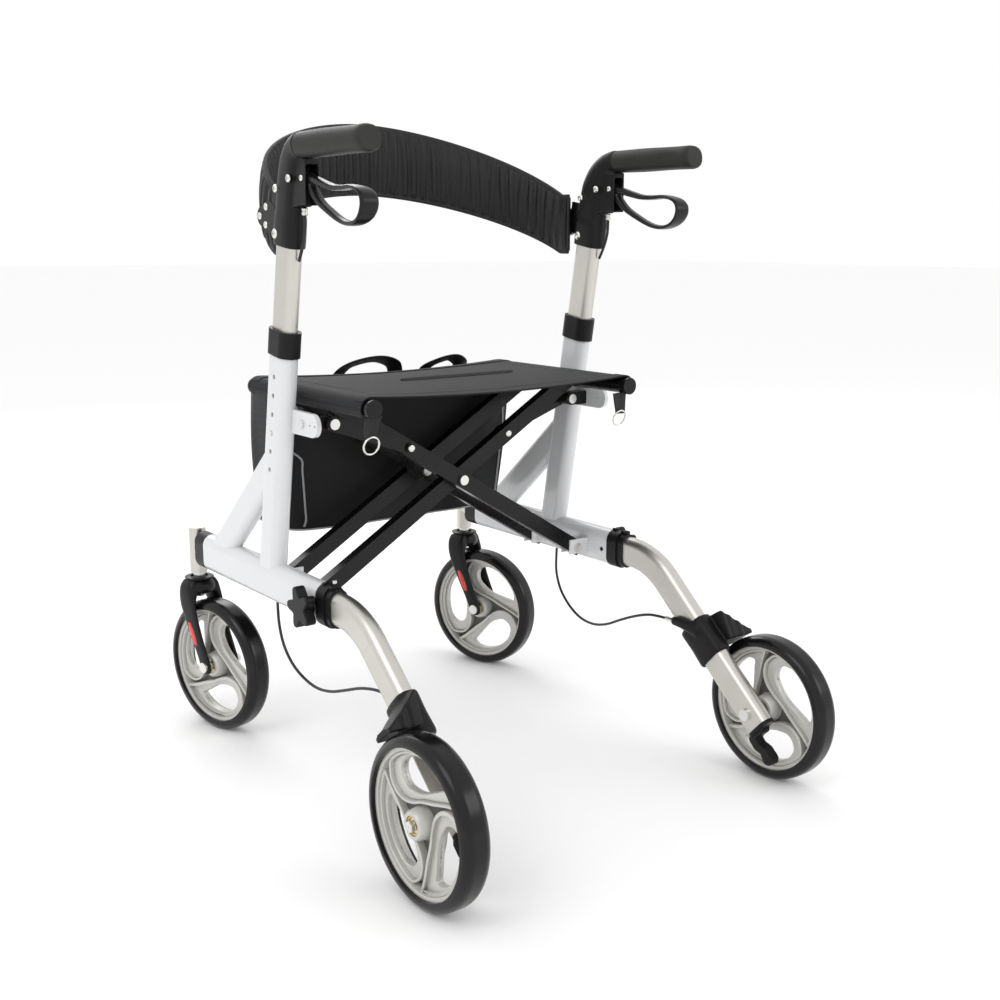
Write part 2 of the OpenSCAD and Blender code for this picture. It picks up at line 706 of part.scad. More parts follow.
module seat_tube(side) {
    x = side * seat_tube_x;
    bore_r = seat_tube_d / 2 - 1.5;
    difference() {
        rod_y(seat_tube_y0, seat_tube_y1, x, seat_tube_z, seat_tube_d / 2);
        rod_y(seat_tube_y0 - 1, seat_tube_y1 + 1, x, seat_tube_z, bore_r);
    }
    // End caps, each with a plug inside the tube
    rod_y(seat_tube_y0 - 4, seat_tube_y0 - 0.05, x, seat_tube_z, seat_tube_d / 2 + 0.8);
    rod_y(seat_tube_y0 - 1, seat_tube_y0 + 8, x, seat_tube_z, bore_r - 0.1);
    rod_y(seat_tube_y1 + 0.05, seat_tube_y1 + 4, x, seat_tube_z, seat_tube_d / 2 + 0.8);
    rod_y(seat_tube_y1 - 8, seat_tube_y1 + 1, x, seat_tube_z, bore_r - 0.1);
}

// ---------- soft goods ----------

module seat_sheet() {
    translate([-seat_tube_x - 9, seat_tube_y0 + 4, seat_tube_z + seat_tube_d / 2 + clear])
        cube([2 * seat_tube_x + 18, seat_tube_l - 8, 3]);
}

// Half of the backrest band, from its end plate (t = 0) to the middle (t = 90)
function band_point(t, side, inset) = [
    side * (band_w - inset) * pow(cos(t), 2 / band_n),
    band_y + (band_d - inset) * pow(sin(t), 2 / band_n)
];
function band_rise(t) = t < 0 ? 0 : pow(sin(t), 2 / band_n);

module band_half(side) {
    ts = [-1, for (i = [0 : band_steps]) 3 + 87 * i / band_steps];
    pts = [
        for (t = ts) let (
            o = t < 0 ? [side * band_w, band_y - 16] : band_point(t, side, 0),
            i = t < 0 ? [side * (band_w - band_t), band_y - 16] : band_point(t, side, band_t),
            lo = band_low[0] + (band_low[1] - band_low[0]) * band_rise(t),
            hi = band_high[0] + (band_high[1] - band_high[0]) * band_rise(t)
        ) each [[o[0], o[1], lo], [o[0], o[1], hi], [i[0], i[1], hi], [i[0], i[1], lo]]
    ];
    n = len(ts);
    quads = [
        for (k = [0 : n - 2]) for (j = [0 : 3]) let (m = (j + 1) % 4)
            side > 0 ? [4 * k + j, 4 * k + m, 4 * k + 4 + m, 4 * k + 4 + j]
                : [4 * k + 4 + j, 4 * k + 4 + m, 4 * k + m, 4 * k + j]
    ];
    ends = side > 0 ? [[3, 2, 1, 0], [4 * n - 4, 4 * n - 3, 4 * n - 2, 4 * n - 1]]
        : [[0, 1, 2, 3], [4 * n - 1, 4 * n - 2, 4 * n - 3, 4 * n - 4]];
    polyhedron(points = pts, faces = concat(quads, ends));
}

// Round stiffening rods sewn into the band, at the end plate and at the middle, where it bends
module band_rods() {
    translate([-band_w + band_t / 2, band_y, band_low[0] - 1]) cylinder(r = 4.5, h = 82, $fn = 48);
    translate([-7, band_y + band_d - band_t / 2 - 0.4, band_low[1] - 1]) cylinder(r = 4.5, h = 98, $fn = 48);
}

// Shopping bag, open at the top and narrower at the bottom
module bag_shape(inset, top) {
    hull() {
        translate([-bag_w / 2 + inset, 142 + inset, 520]) cube([bag_w - 2 * inset, 140 - 2 * inset, top]);
        translate([-190 + inset, 152 + inset, 520 - bag_h + inset]) cube([380 - 2 * inset, 148 - 2 * inset, 1]);
    }
}

module bag_shell() {
    difference() {
        bag_shape(0, 1);
        bag_shape(3, 2);
    }
}

// ---------- nodes ----------

module right_side() {
    mirror([1, 0, 0]) children();
}

left_pin_y = bar_b_y - cross_t / 2 + 9;
right_pin_y = bar_a_y + cross_t / 2 - 9;

module left_frame() color("white") side_frame(bar_a_y, left_pin_y);
module right_frame() color("white") right_side() side_frame(bar_b_y, right_pin_y);
module left_fittings() color("#222222") side_fittings(left_pin_y);
module right_fittings() color("#222222") right_side() side_fittings(right_pin_y);
module left_frame_bolts() color("silver") side_bolts(bar_a_y, left_pin_y, -1);
module right_frame_bolts() color("silver") right_side() side_bolts(bar_b_y, right_pin_y, 1);
module left_rear_leg() color("#b9b5ac") side_leg();
module right_rear_leg() color("#b9b5ac") right_side() side_leg();
module left_head_tube() color("#b9b5ac") side_head_tube();
module right_head_tube() color("#b9b5ac") right_side() side_head_tube();
module left_brake_housing() color("#222222") side_brake_housing(184);
module right_brake_housing() color("#222222") right_side() side_brake_housing(200);
module left_brake_shoe() color("#333333") side_brake_shoe();
module right_brake_shoe() color("#333333") right_side() side_brake_shoe();
module left_tip_lever() color("#1c1c1c") side_tip_lever();
module right_tip_lever() color("#1c1c1c") right_side() side_tip_lever();
module left_lower_cable() color("#111111") side_lower_cable(left_cable_points);
module right_lower_cable() color("#111111") right_side() side_lower_cable(right_cable_points);
module left_rear_axle() color("silver") side_rear_axle();
module right_rear_axle() color("silver") right_side() side_rear_axle();
module left_star_knob() color("#1c1c1c") side_star_knob();
module right_star_knob() color("#1c1c1c") right_side() side_star_knob();
module left_fork() color("#2a2a2a") at_caster(-1, left_caster_angle) fork();
module right_fork() color("#2a2a2a") at_caster(1, right_caster_angle) fork();
module left_caster_bolts() color("silver") at_caster(-1, left_caster_angle) caster_bolts();
module right_caster_bolts() color("silver") at_caster(1, right_caster_angle) caster_bolts();
module left_front_tyre() color("#1a1a1a") at_caster(-1, left_caster_angle) translate([0, -trail, wheel_r]) tyre();
module right_front_tyre() color("#1a1a1a") at_caster(1, right_caster_angle) translate([0, -trail, wheel_r]) tyre();
module left_front_rim() color("#c8c4bc") at_caster(-1, left_caster_angle) translate([0, -trail, wheel_r]) rim(36);
module right_front_rim() color("#c8c4bc") at_caster(1, right_caster_angle) translate([0, -trail, wheel_r]) rim(36);
module left_rear_tyre() color("#1a1a1a") translate([-rear_wheel_x, rear_axle_y, wheel_r]) tyre();
module right_rear_tyre() color("#1a1a1a") translate([rear_wheel_x, rear_axle_y, wheel_r]) tyre();
module left_rear_rim() color("#c8c4bc") translate([-rear_wheel_x, rear_axle_y, wheel_r]) rim(40);
module right_rear_rim() color("#c8c4bc") translate([rear_wheel_x, rear_axle_y, wheel_r]) rim(40);
module left_handle_tube() color("#b9b5ac") side_handle_tube();
module right_handle_tube() color("#b9b5ac") right_side() side_handle_tube();
module left_handle_housing() color("#2a2a2a") side_handle_housing();
module right_handle_housing() color("#2a2a2a") right_side() side_handle_housing();
module left_grip() color("#333333") side_grip();
module right_grip() color("#333333") right_side() side_grip();
module left_upper_cable() color("#111111") side_upper_cable();
module right_upper_cable() color("#111111") right_side() side_upper_cable();
module left_backrest_plate() color("#1c1c1c") side_backrest_plate();
module right_backrest_plate() color("#1c1c1c") right_side() side_backrest_plate();
module left_brake_lever() color("#222222") side_brake_lever();
module right_brake_lever() color("#222222") right_side() side_brake_lever();
module left_snap_button() color("silver") side_snap_button();
module right_snap_button() color("silver") right_side() side_snap_button();
module left_link() color("#1c1c1c") fold_link(left_link_y, left_link_y - 3);
module right_link() color("#1c1c1c") right_side() fold_link(right_link_y, right_link_y + link_t - 0.2);
module cross_bars_a() color("#1c1c1c") cross_bars(-1, bar_a_y);
module cross_bars_b() color("#1c1c1c") cross_bars(1, bar_b_y);
module cross_pivot_bolts() color("silver") centre_bolts();
module seat_tube_left() color("#222222") seat_tube(-1);
module seat_tube_right() color("#222222") seat_tube(1);
module seat_fabric() color("#2b2b2e") seat_sheet();
module backrest_left_half() color("#242427") union() {
    band_half(-1);
    band_rods();
}
module backrest_right_half() color("#242427") band_half(1);
module bag() color("#26262a") bag_shell();

left_frame();
left_fittings();
left_frame_bolts();
left_rear_leg();
left_head_tube();
left_brake_housing();
left_tip_lever();
left_lower_cable();
left_rear_axle();
left_star_knob();
left_brake_shoe();
left_fork();
left_caster_bolts();
left_front_tyre();
left_front_rim();
left_rear_tyre();
left_rear_rim();
left_handle_tube();
left_handle_housing();
left_grip();
left_upper_cable();
left_backrest_plate();
left_brake_lever();
left_snap_button();
left_link();
right_frame();
right_fittings();
right_frame_bolts();
right_rear_leg();
right_head_tube();
right_brake_housing();
right_tip_lever();
right_lower_cable();
right_rear_axle();
right_star_knob();
right_brake_shoe();
right_fork();
right_caster_bolts();
right_front_tyre();
right_front_rim();
right_rear_tyre();
right_rear_rim();
right_handle_tube();
right_handle_housing();
right_grip();
right_upper_cable();
right_backrest_plate();
right_brake_lever();
right_snap_button();
right_link();
cross_bars_a();
cross_bars_b();
cross_pivot_bolts();
seat_tube_left();
seat_tube_right();
seat_fabric();
backrest_left_half();
backrest_right_half();
bag();
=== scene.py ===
"""Looks of the side-folding rollator walker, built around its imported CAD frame."""
import json
import math
import random
import bpy
from mathutils import Matrix, Vector


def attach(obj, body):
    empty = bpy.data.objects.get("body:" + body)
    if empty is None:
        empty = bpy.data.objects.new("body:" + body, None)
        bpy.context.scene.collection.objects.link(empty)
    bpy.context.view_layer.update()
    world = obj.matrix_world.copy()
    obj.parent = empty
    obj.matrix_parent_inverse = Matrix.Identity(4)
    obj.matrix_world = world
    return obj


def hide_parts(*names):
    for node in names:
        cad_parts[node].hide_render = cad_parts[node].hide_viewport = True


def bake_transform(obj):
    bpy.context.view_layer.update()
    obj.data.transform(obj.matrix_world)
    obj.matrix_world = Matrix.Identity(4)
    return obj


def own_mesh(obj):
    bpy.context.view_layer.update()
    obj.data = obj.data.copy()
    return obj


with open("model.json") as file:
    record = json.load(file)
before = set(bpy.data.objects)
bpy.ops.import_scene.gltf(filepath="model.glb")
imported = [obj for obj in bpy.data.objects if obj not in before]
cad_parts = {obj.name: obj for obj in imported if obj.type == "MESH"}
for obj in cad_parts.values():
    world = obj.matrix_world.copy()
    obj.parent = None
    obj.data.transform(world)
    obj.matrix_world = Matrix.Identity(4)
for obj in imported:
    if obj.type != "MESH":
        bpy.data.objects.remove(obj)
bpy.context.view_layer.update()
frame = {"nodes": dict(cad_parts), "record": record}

NODES = frame["nodes"]
MM = 0.001

# Places in the CAD frame, in millimetres. "s" is -1 on the left side and 1 on the right one.
SIDES = (("left", -1), ("right", 1))
SIDE_X = 248                    # middle plane of a side frame and its handle
REAR_X = 288                    # middle plane of a rear wheel
AXLE = (-312.5, 100)            # rear axle, as (y, z)
WHEEL_R = 100
STEM_Y = 350.5                  # caster stem
TRAIL = 41                      # front axle behind its stem
CASTER_TURN = {"left": 12.5, "right": 18.5}
LEAN = math.radians(9.5)        # uprights lean back
LEG_ANGLE = math.radians(41.5)
GRIP_X, GRIP_Z = 254, 838
LEVER_PIVOT = (-14, 800)
SEAT_TUBE = (211.7, 527.4)
SEAT_TOP = 540.4


# ---------- camera, light and floor ----------

def make_camera():
    heading, pitch, roll = math.radians(37.84), math.radians(11.84), math.radians(0.27)
    level = math.cos(pitch)
    ahead = Vector((math.sin(heading) * level, math.cos(heading) * level, -math.sin(pitch)))
    right = Vector((math.cos(heading), -math.sin(heading), 0))
    up = right.cross(ahead)
    rolled_right = right * math.cos(roll) + up * math.sin(roll)
    rolled_up = up * math.cos(roll) - right * math.sin(roll)
    turned = Matrix((rolled_right, rolled_up, -ahead))
    camera = bpy.data.objects.new("camera", bpy.data.cameras.new("camera"))
    camera.matrix_world = Matrix.Translation((-1.0108, -1.3719, 0.7313)) @ turned.transposed().to_4x4()
    camera.data.sensor_width = 36
    camera.data.lens = 45.04
    bpy.context.scene.collection.objects.link(camera)
    bpy.context.scene.camera = camera


def area_light(name, place, target, size, power):
    data = bpy.data.lights.new(name, "AREA")
    data.shape = "RECTANGLE"
    data.size, data.size_y = size
    data.energy = power
    light = bpy.data.objects.new(name, data)
    light.location = place
    light.rotation_euler = (Vector(target) - Vector(place)).to_track_quat("-Z", "Y").to_euler()
    bpy.context.scene.collection.objects.link(light)


def make_studio():
    world = bpy.data.worlds.new("studio")
    world.use_nodes = True
    world.node_tree.nodes["Background"].inputs["Color"].default_value = (1, 1, 1, 1)
    world.node_tree.nodes["Background"].inputs["Strength"].default_value = 1.0
    bpy.context.scene.world = world
    bpy.context.scene.view_settings.view_transform = "Standard"
    area_light("key", (-2.4, -0.6, 2.6), (0, 0, 0.4), (1.6, 1.6), 20)
    area_light("fill", (1.8, -2.6, 1.8), (0, 0, 0.4), (1.8, 1.2), 16)
    area_light("back", (0.6, 2.8, 2.2), (0, 0, 0.5), (2.0, 1.2), 26)
    floor = bpy.data.meshes.new("floor")
    reach = 30
    corners = [(-reach, -reach, 0), (reach, -reach, 0), (reach, reach, 0), (-reach, reach, 0)]
    floor.from_pydata(corners, [], [(0, 1, 2, 3)])
    floor_object = bpy.data.objects.new("floor", floor)
    bpy.context.scene.collection.objects.link(floor_object)
    paint = bpy.data.materials.new("floor")
    paint.use_nodes = True
    shader = paint.node_tree.nodes["Principled BSDF"]
    shader.inputs["Base Color"].default_value = (0.96, 0.96, 0.96, 1)
    shader.inputs["Roughness"].default_value = 0.9
    floor.materials.append(paint)


# ---------- materials ----------

def make_material(name, color, rough, metal=0.0, vary=0.12, rough_vary=0.08, grain=400.0,
                  bump=(900.0, 0.08), coat=0.0, sheen=0.0, weave=None, specular=0.5):
    """A Principled material with uneven colour and gloss and fine relief.

    bump is (scale, strength). weave is (thread in mm, the two axes it runs along), for a woven surface.
    """
    material = bpy.data.materials.new(name)
    material.use_nodes = True
    nodes, links = material.node_tree.nodes, material.node_tree.links
    shader = nodes["Principled BSDF"]
    shader.inputs["Metallic"].default_value = metal
    shader.inputs["Specular IOR Level"].default_value = specular
    shader.inputs["Coat Weight"].default_value = coat
    shader.inputs["Coat Roughness"].default_value = 0.12
    shader.inputs["Sheen Weight"].default_value = sheen
    shader.inputs["Sheen Roughness"].default_value = 0.5
    place = nodes.new("ShaderNodeTexCoord")

    def noise(scale, detail):
        node = nodes.new("ShaderNodeTexNoise")
        node.inputs["Scale"].default_value = scale
        node.inputs["Detail"].default_value = detail
        links.new(place.outputs["Object"], node.inputs["Vector"])
        return node.outputs["Fac"]

    tint = nodes.new("ShaderNodeMix")
    tint.data_type = "RGBA"
    tint.inputs[6].default_value = (*[c * (1 - vary) for c in color], 1)
    tint.inputs[7].default_value = (*[min(1, c * (1 + vary)) for c in color], 1)
    links.new(noise(grain / 20, 4), tint.inputs["Factor"])
    links.new(tint.outputs[2], shader.inputs["Base Color"])
    gloss = nodes.new("ShaderNodeMapRange")
    gloss.inputs["To Min"].default_value = rough - rough_vary
    gloss.inputs["To Max"].default_value = rough + rough_vary
    links.new(noise(grain, 3), gloss.inputs["Value"])
    links.new(gloss.outputs["Result"], shader.inputs["Roughness"])
    relief = nodes.new("ShaderNodeBump")
    relief.inputs["Strength"].default_value = bump[1]
    relief.inputs["Distance"].default_value = 0.0004
    links.new(relief.outputs["Normal"], shader.inputs["Normal"])
    if weave:
        waves = []
        for axis in weave[1]:
            wave = nodes.new("ShaderNodeTexWave")
            wave.bands_direction = axis
            wave.inputs["Scale"].default_value = 0.314 / (weave[0] * MM)
            wave.inputs["Distortion"].default_value = 0.4
            wave.inputs["Detail"].default_value = 1
            links.new(place.outputs["Object"], wave.inputs["Vector"])
            waves.append(wave)
        threads = nodes.new("ShaderNodeMath")
        threads.operation = "MULTIPLY"
        links.new(waves[0].outputs["Fac"], threads.inputs[0])
        links.new(waves[1].outputs["Fac"], threads.inputs[1])
        links.new(threads.outputs[0], relief.inputs["Height"])
        shade = nodes.new("ShaderNodeMix")
        shade.data_type = "RGBA"
        shade.blend_type = "MULTIPLY"
        shade.inputs["Factor"].default_value = 0.5
        links.new(tint.outputs[2], shade.inputs[6])
        links.new(threads.outputs[0], shade.inputs[7])
        links.new(shade.outputs[2], shader.inputs["Base Color"])
    else:
        links.new(noise(bump[0], 2), relief.inputs["Height"])
    return material


LOOKS = {
    "white_paint": dict(color=(0.66, 0.665, 0.675), rough=0.24,
                        vary=0.015, rough_vary=0.05, bump=(260, 0.05), coat=0.5),
    "anodised_tube": dict(color=(0.60, 0.58, 0.54), rough=0.36,
                          metal=1.0, vary=0.04, rough_vary=0.05, grain=700, bump=(1400, 0.10)),
    "black_plastic": dict(color=(0.007, 0.007, 0.0075), rough=0.40,
                          vary=0.2, bump=(2600, 0.22), specular=0.2),
    "fork_plastic": dict(color=(0.006, 0.006, 0.0065), rough=0.32,
                         vary=0.2, bump=(1800, 0.12), specular=0.24),
    "lever_plastic": dict(color=(0.008, 0.008, 0.0085), rough=0.30,
                          vary=0.2, bump=(2000, 0.10), specular=0.25),
    "grip_rubber": dict(color=(0.020, 0.0195, 0.0185), rough=0.50,
                        vary=0.15, bump=(3200, 0.25), specular=0.25),
    "black_steel": dict(color=(0.004, 0.004, 0.0045), rough=0.26,
                        vary=0.2, bump=(900, 0.05), specular=0.28),
    "bolts": dict(color=(0.74, 0.73, 0.71), rough=0.26,
                  metal=1.0, vary=0.05, grain=1800, bump=(2400, 0.06)),
    "brass": dict(color=(0.62, 0.48, 0.22), rough=0.32, metal=1.0, vary=0.06, grain=1800),
    "tyre": dict(color=(0.004, 0.004, 0.0045), rough=0.22,
                 vary=0.2, rough_vary=0.07, grain=120, bump=(500, 0.05), specular=0.32),
    "rim_plastic": dict(color=(0.56, 0.55, 0.52), rough=0.40, metal=0.35, vary=0.04, bump=(1600, 0.10)),
    "seat_fabric": dict(color=(0.013, 0.0135, 0.016), rough=0.74,
                        vary=0.25, bump=(900, 0.5), sheen=0.06, specular=0.22, weave=(1.1, "XY")),
    "backrest_fabric": dict(color=(0.009, 0.0093, 0.0105), rough=0.42,
                            vary=0.2, bump=(900, 0.30), sheen=0.03, specular=0.34, weave=(0.8, "XZ")),
    "bag_fabric": dict(color=(0.008, 0.0083, 0.0098), rough=0.45,
                       vary=0.2, bump=(900, 0.35), sheen=0.03, specular=0.22, weave=(0.8, "XZ")),
    "webbing": dict(color=(0.010, 0.010, 0.011), rough=0.62,
                    vary=0.2, bump=(900, 0.6), weave=(1.6, "YZ")),
    "piping": dict(color=(0.30, 0.30, 0.31), rough=0.45, vary=0.1, bump=(900, 0.3)),
    "thread": dict(color=(0.06, 0.06, 0.065), rough=0.6, vary=0.2),
    "cable_black": dict(color=(0.006, 0.006, 0.0065), rough=0.35, vary=0.1, bump=(900, 0.03)),
    "reflector": dict(color=(0.65, 0.02, 0.015), rough=0.16, vary=0.15, bump=(700, 0.4), coat=0.6),
    # painted shade: the rim plastic darkened for the recessed pockets between the rim's lobes
    "pocket_shade": dict(color=(0.085, 0.083, 0.078), rough=0.55, vary=0.15, bump=(1200, 0.2)),
    "piping_black": dict(color=(0.014, 0.014, 0.015), rough=0.5, vary=0.1, bump=(900, 0.3)),
}
MATERIALS = {name: make_material(name, **look) for name, look in LOOKS.items()}


# ---------- mesh helpers, all in millimetres ----------

def to_object(name, verts, faces, material, body=None, sharp=32):
    mesh = bpy.data.meshes.new(name)
    mesh.from_pydata([Vector(v) * MM for v in verts], [], faces)
    mesh.materials.append(MATERIALS[material])
    piece = bpy.data.objects.new(name, mesh)
    bpy.context.scene.collection.objects.link(piece)
    finish_mesh(piece, sharp)
    if body:
        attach(piece, body)
    return piece


def finish_mesh(piece, sharp=32):
    mesh = piece.data
    mesh.validate()
    mesh.polygons.foreach_set("use_smooth", [True] * len(mesh.polygons))
    mesh.set_sharp_from_angle(angle=math.radians(sharp))
    mesh.update()


def apply_modifiers(piece):
    bpy.context.view_layer.update()
    graph = bpy.context.evaluated_depsgraph_get()
    mesh = bpy.data.meshes.new_from_object(piece.evaluated_get(graph))
    piece.modifiers.clear()
    piece.data = mesh
    return piece


def thicken(piece, thickness, offset=0):
    """Gives a surface the thickness of a cloth, in millimetres."""
    cloth = piece.modifiers.new("cloth", "SOLIDIFY")
    cloth.thickness = thickness * MM
    cloth.offset = offset
    apply_modifiers(piece)
    finish_mesh(piece, 60)


def join(name, pieces, material, body=None, sharp=32):
    """Several loose meshes as one piece, with their places applied."""
    verts, faces = [], []
    for piece in pieces:
        start = len(verts)
        verts += [piece.matrix_world @ v.co / MM for v in piece.data.vertices]
        faces += [[start + i for i in p.vertices] for p in piece.data.polygons]
        bpy.data.objects.remove(piece)
    return to_object(name, verts, faces, material, body, sharp)


def catmull(points, steps, closed=False):
    """A smooth curve through the points, with steps stretches between neighbours."""
    pts = [Vector(p) for p in points]
    n = len(pts)
    out = []
    for i in range(n if closed else n - 1):
        if closed:
            a, b, c, d = (pts[(i + k - 1) % n] for k in range(4))
        else:
            a, b, c, d = pts[max(i - 1, 0)], pts[i], pts[i + 1], pts[min(i + 2, n - 1)]
        for k in range(steps):
            t = k / steps
            square, cube = 2 * a - 5 * b + 4 * c - d, 3 * b - a - 3 * c + d
            out.append(0.5 * (2 * b + (c - a) * t + square * t ** 2 + cube * t ** 3))
    return out if closed else out + [pts[-1]]


def ellipse(a, b, n=20, power=2.0):
    """Corners of a rounded section, a superellipse with half-sizes a and b."""
    out = []
    for k in range(n):
        t = 2 * math.pi * k / n
        c, s = math.cos(t), math.sin(t)
        across = math.copysign(abs(c) ** (2 / power) * a, c)
        out.append((across, math.copysign(abs(s) ** (2 / power) * b, s)))
    return out


def sweep(name, path, section, material, body=None, up=(1, 0, 0), closed=False, sharp=40):
    """A section carried along a path. section(t) gives corners (across up, along the other side)."""
    n = len(path)
    verts, faces = [], []
    for i, p in enumerate(path):
        if closed:
            ahead = (path[(i + 1) % n] - path[i - 1]).normalized()
        else:
            ahead = (path[min(i + 1, n - 1)] - path[max(i - 1, 0)]).normalized()
        u = (Vector(up) - ahead * ahead.dot(Vector(up))).normalized()
        v = ahead.cross(u)
        ring = section(i / (n if closed else n - 1))
        verts += [p + u * a + v * b for a, b in ring]
    m = len(ring)
    for i in range(n if closed else n - 1):
        j = (i + 1) % n
        faces += [(i * m + k, i * m + (k + 1) % m, j * m + (k + 1) % m, j * m + k) for k in range(m)]
    if not closed:
        faces += [list(range(m))[::-1], [(n - 1) * m + k for k in range(m)]]
    return to_object(name, verts, faces, material, body, sharp)


def lathe(name, profile, centre, axis, material, body=None, steps=96, sharp=35, closed=True):
    """A profile of (radius, place along the axis) turned about an axis through centre."""
    axis = Vector(axis).normalized()
    u = axis.cross(Vector((0, 0, 1)) if abs(axis.z) < 0.9 else Vector((1, 0, 0))).normalized()
    v = axis.cross(u)
    m = len(profile)
    verts, faces = [], []
    for i in range(steps):
        t = 2 * math.pi * i / steps
        out = u * math.cos(t) + v * math.sin(t)
        verts += [Vector(centre) + out * r + axis * h for r, h in profile]
    sides = m if closed else m - 1
    for i in range(steps):
        j = (i + 1) % steps
        faces += [(i * m + k, i * m + (k + 1) % m, j * m + (k + 1) % m, j * m + k) for k in range(sides)]
    return to_object(name, verts, faces, material, body, sharp)


def slab(name, outlines, half, rounding, material, place, body=None, sharp=35):
    """A flat shape with rounded edges, from outlines of (u, v). place maps (u, v, w) to the frame."""
    curve = bpy.data.curves.new(name, "CURVE")
    curve.dimensions = "2D"
    curve.fill_mode = "BOTH"
    curve.extrude = (half - rounding) * MM
    curve.bevel_depth = rounding * MM
    curve.offset = -rounding * MM
    curve.bevel_resolution = 3
    for outline in outlines:
        spline = curve.splines.new("POLY")
        spline.points.add(len(outline) - 1)
        for point, (u, v) in zip(spline.points, outline):
            point.co = (u * MM, v * MM, 0, 1)
        spline.use_cyclic_u = True
    piece = bpy.data.objects.new(name, curve)
    bpy.context.scene.collection.objects.link(piece)
    bpy.context.view_layer.update()
    mesh = bpy.data.meshes.new_from_object(piece.evaluated_get(bpy.context.evaluated_depsgraph_get()))
    bpy.data.objects.remove(piece)
    verts = [place(*(v.co / MM)) for v in mesh.vertices]
    faces = [list(p.vertices) for p in mesh.polygons]
    made = to_object(name, verts, faces, material, body, sharp)
    weld = made.modifiers.new("weld", "WELD")
    weld.merge_threshold = 0.00002
    apply_modifiers(made)
    finish_mesh(made, sharp)
    return made


def circle(r, n):
    turns = [2 * math.pi * k / n for k in range(n)]
    return [(r * math.cos(t), r * math.sin(t)) for t in turns]


def moulded(piece, voxel=1.2, smooth=6):
    """Melts a piece's solids into one skin with soft edges, as an injection moulding has."""
    remesh = piece.modifiers.new("melt", "REMESH")
    remesh.mode = "VOXEL"
    remesh.voxel_size = voxel * MM
    soften = piece.modifiers.new("soften", "SMOOTH")
    soften.iterations = smooth
    soften.factor = 0.5
    apply_modifiers(piece)
    finish_mesh(piece, 60)
    return piece


def moulded_copy(node, name, material, body, voxel, smooth):
    """A soft-edged moulding made from a CAD node's solids."""
    source = NODES[node]
    copy = bpy.data.objects.new(name + "_solid", source.data.copy())
    bpy.context.scene.collection.objects.link(copy)
    piece = join(name, [copy], material)
    moulded(piece, voxel, smooth)
    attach(piece, body)
    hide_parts(node)


def button_head(name, centre, axis, r, height, body, material="bolts", socket=True):
    """A domed screw head with a round socket, or a rivet head without one, standing out along axis."""
    profile = [(0.0, 0), (r, 0), (r, height * 0.35), (r * 0.92, height * 0.62), (r * 0.72, height * 0.87),
               (r * 0.5, height)]
    if socket:
        profile += [(r * 0.42, height), (r * 0.38, height * 0.45), (0.0, height * 0.45)]
    else:
        profile += [(0.0, height * 1.02)]
    return lathe(name, profile, centre, axis, material, body, steps=24, closed=False)


# ---------- wheels ----------

# One of the rim's three swirled lobes and the opening in it, as (radius, degrees).
LOBE = [(80.5, 81), (74, 88.5), (64, 96), (51, 100.5), (40, 100), (31, 94), (24.5, 80), (21.5, 62), (22, 42),
        (25.5, 22), (31, 6), (40, -7), (52, -15), (64, -20), (74, -23.5), (80.5, -25), (81, -16), (81, -2),
        (81, 12), (81, 26), (81, 40), (81, 54), (81, 68)]
OPENING = [(72.5, 62), (67, 73), (57, 79), (46, 79), (38, 70), (33, 54), (33, 36), (38, 20), (47, 8), (58, 0),
           (67, -4), (72.5, 4), (74, 16), (74.5, 28), (74.5, 40), (74, 52)]
RIM_R = 80.5
RIB_WIDTH = 3.4


def polar(points, turn):
    angles = [math.radians(a + turn) for r, a in points]
    return [(r * math.cos(t), r * math.sin(t)) for (r, a), t in zip(points, angles)]


def smooth_outline(points, steps=5):
    return [(p.x, p.y) for p in catmull([(x, y, 0) for x, y in points], steps, closed=True)]


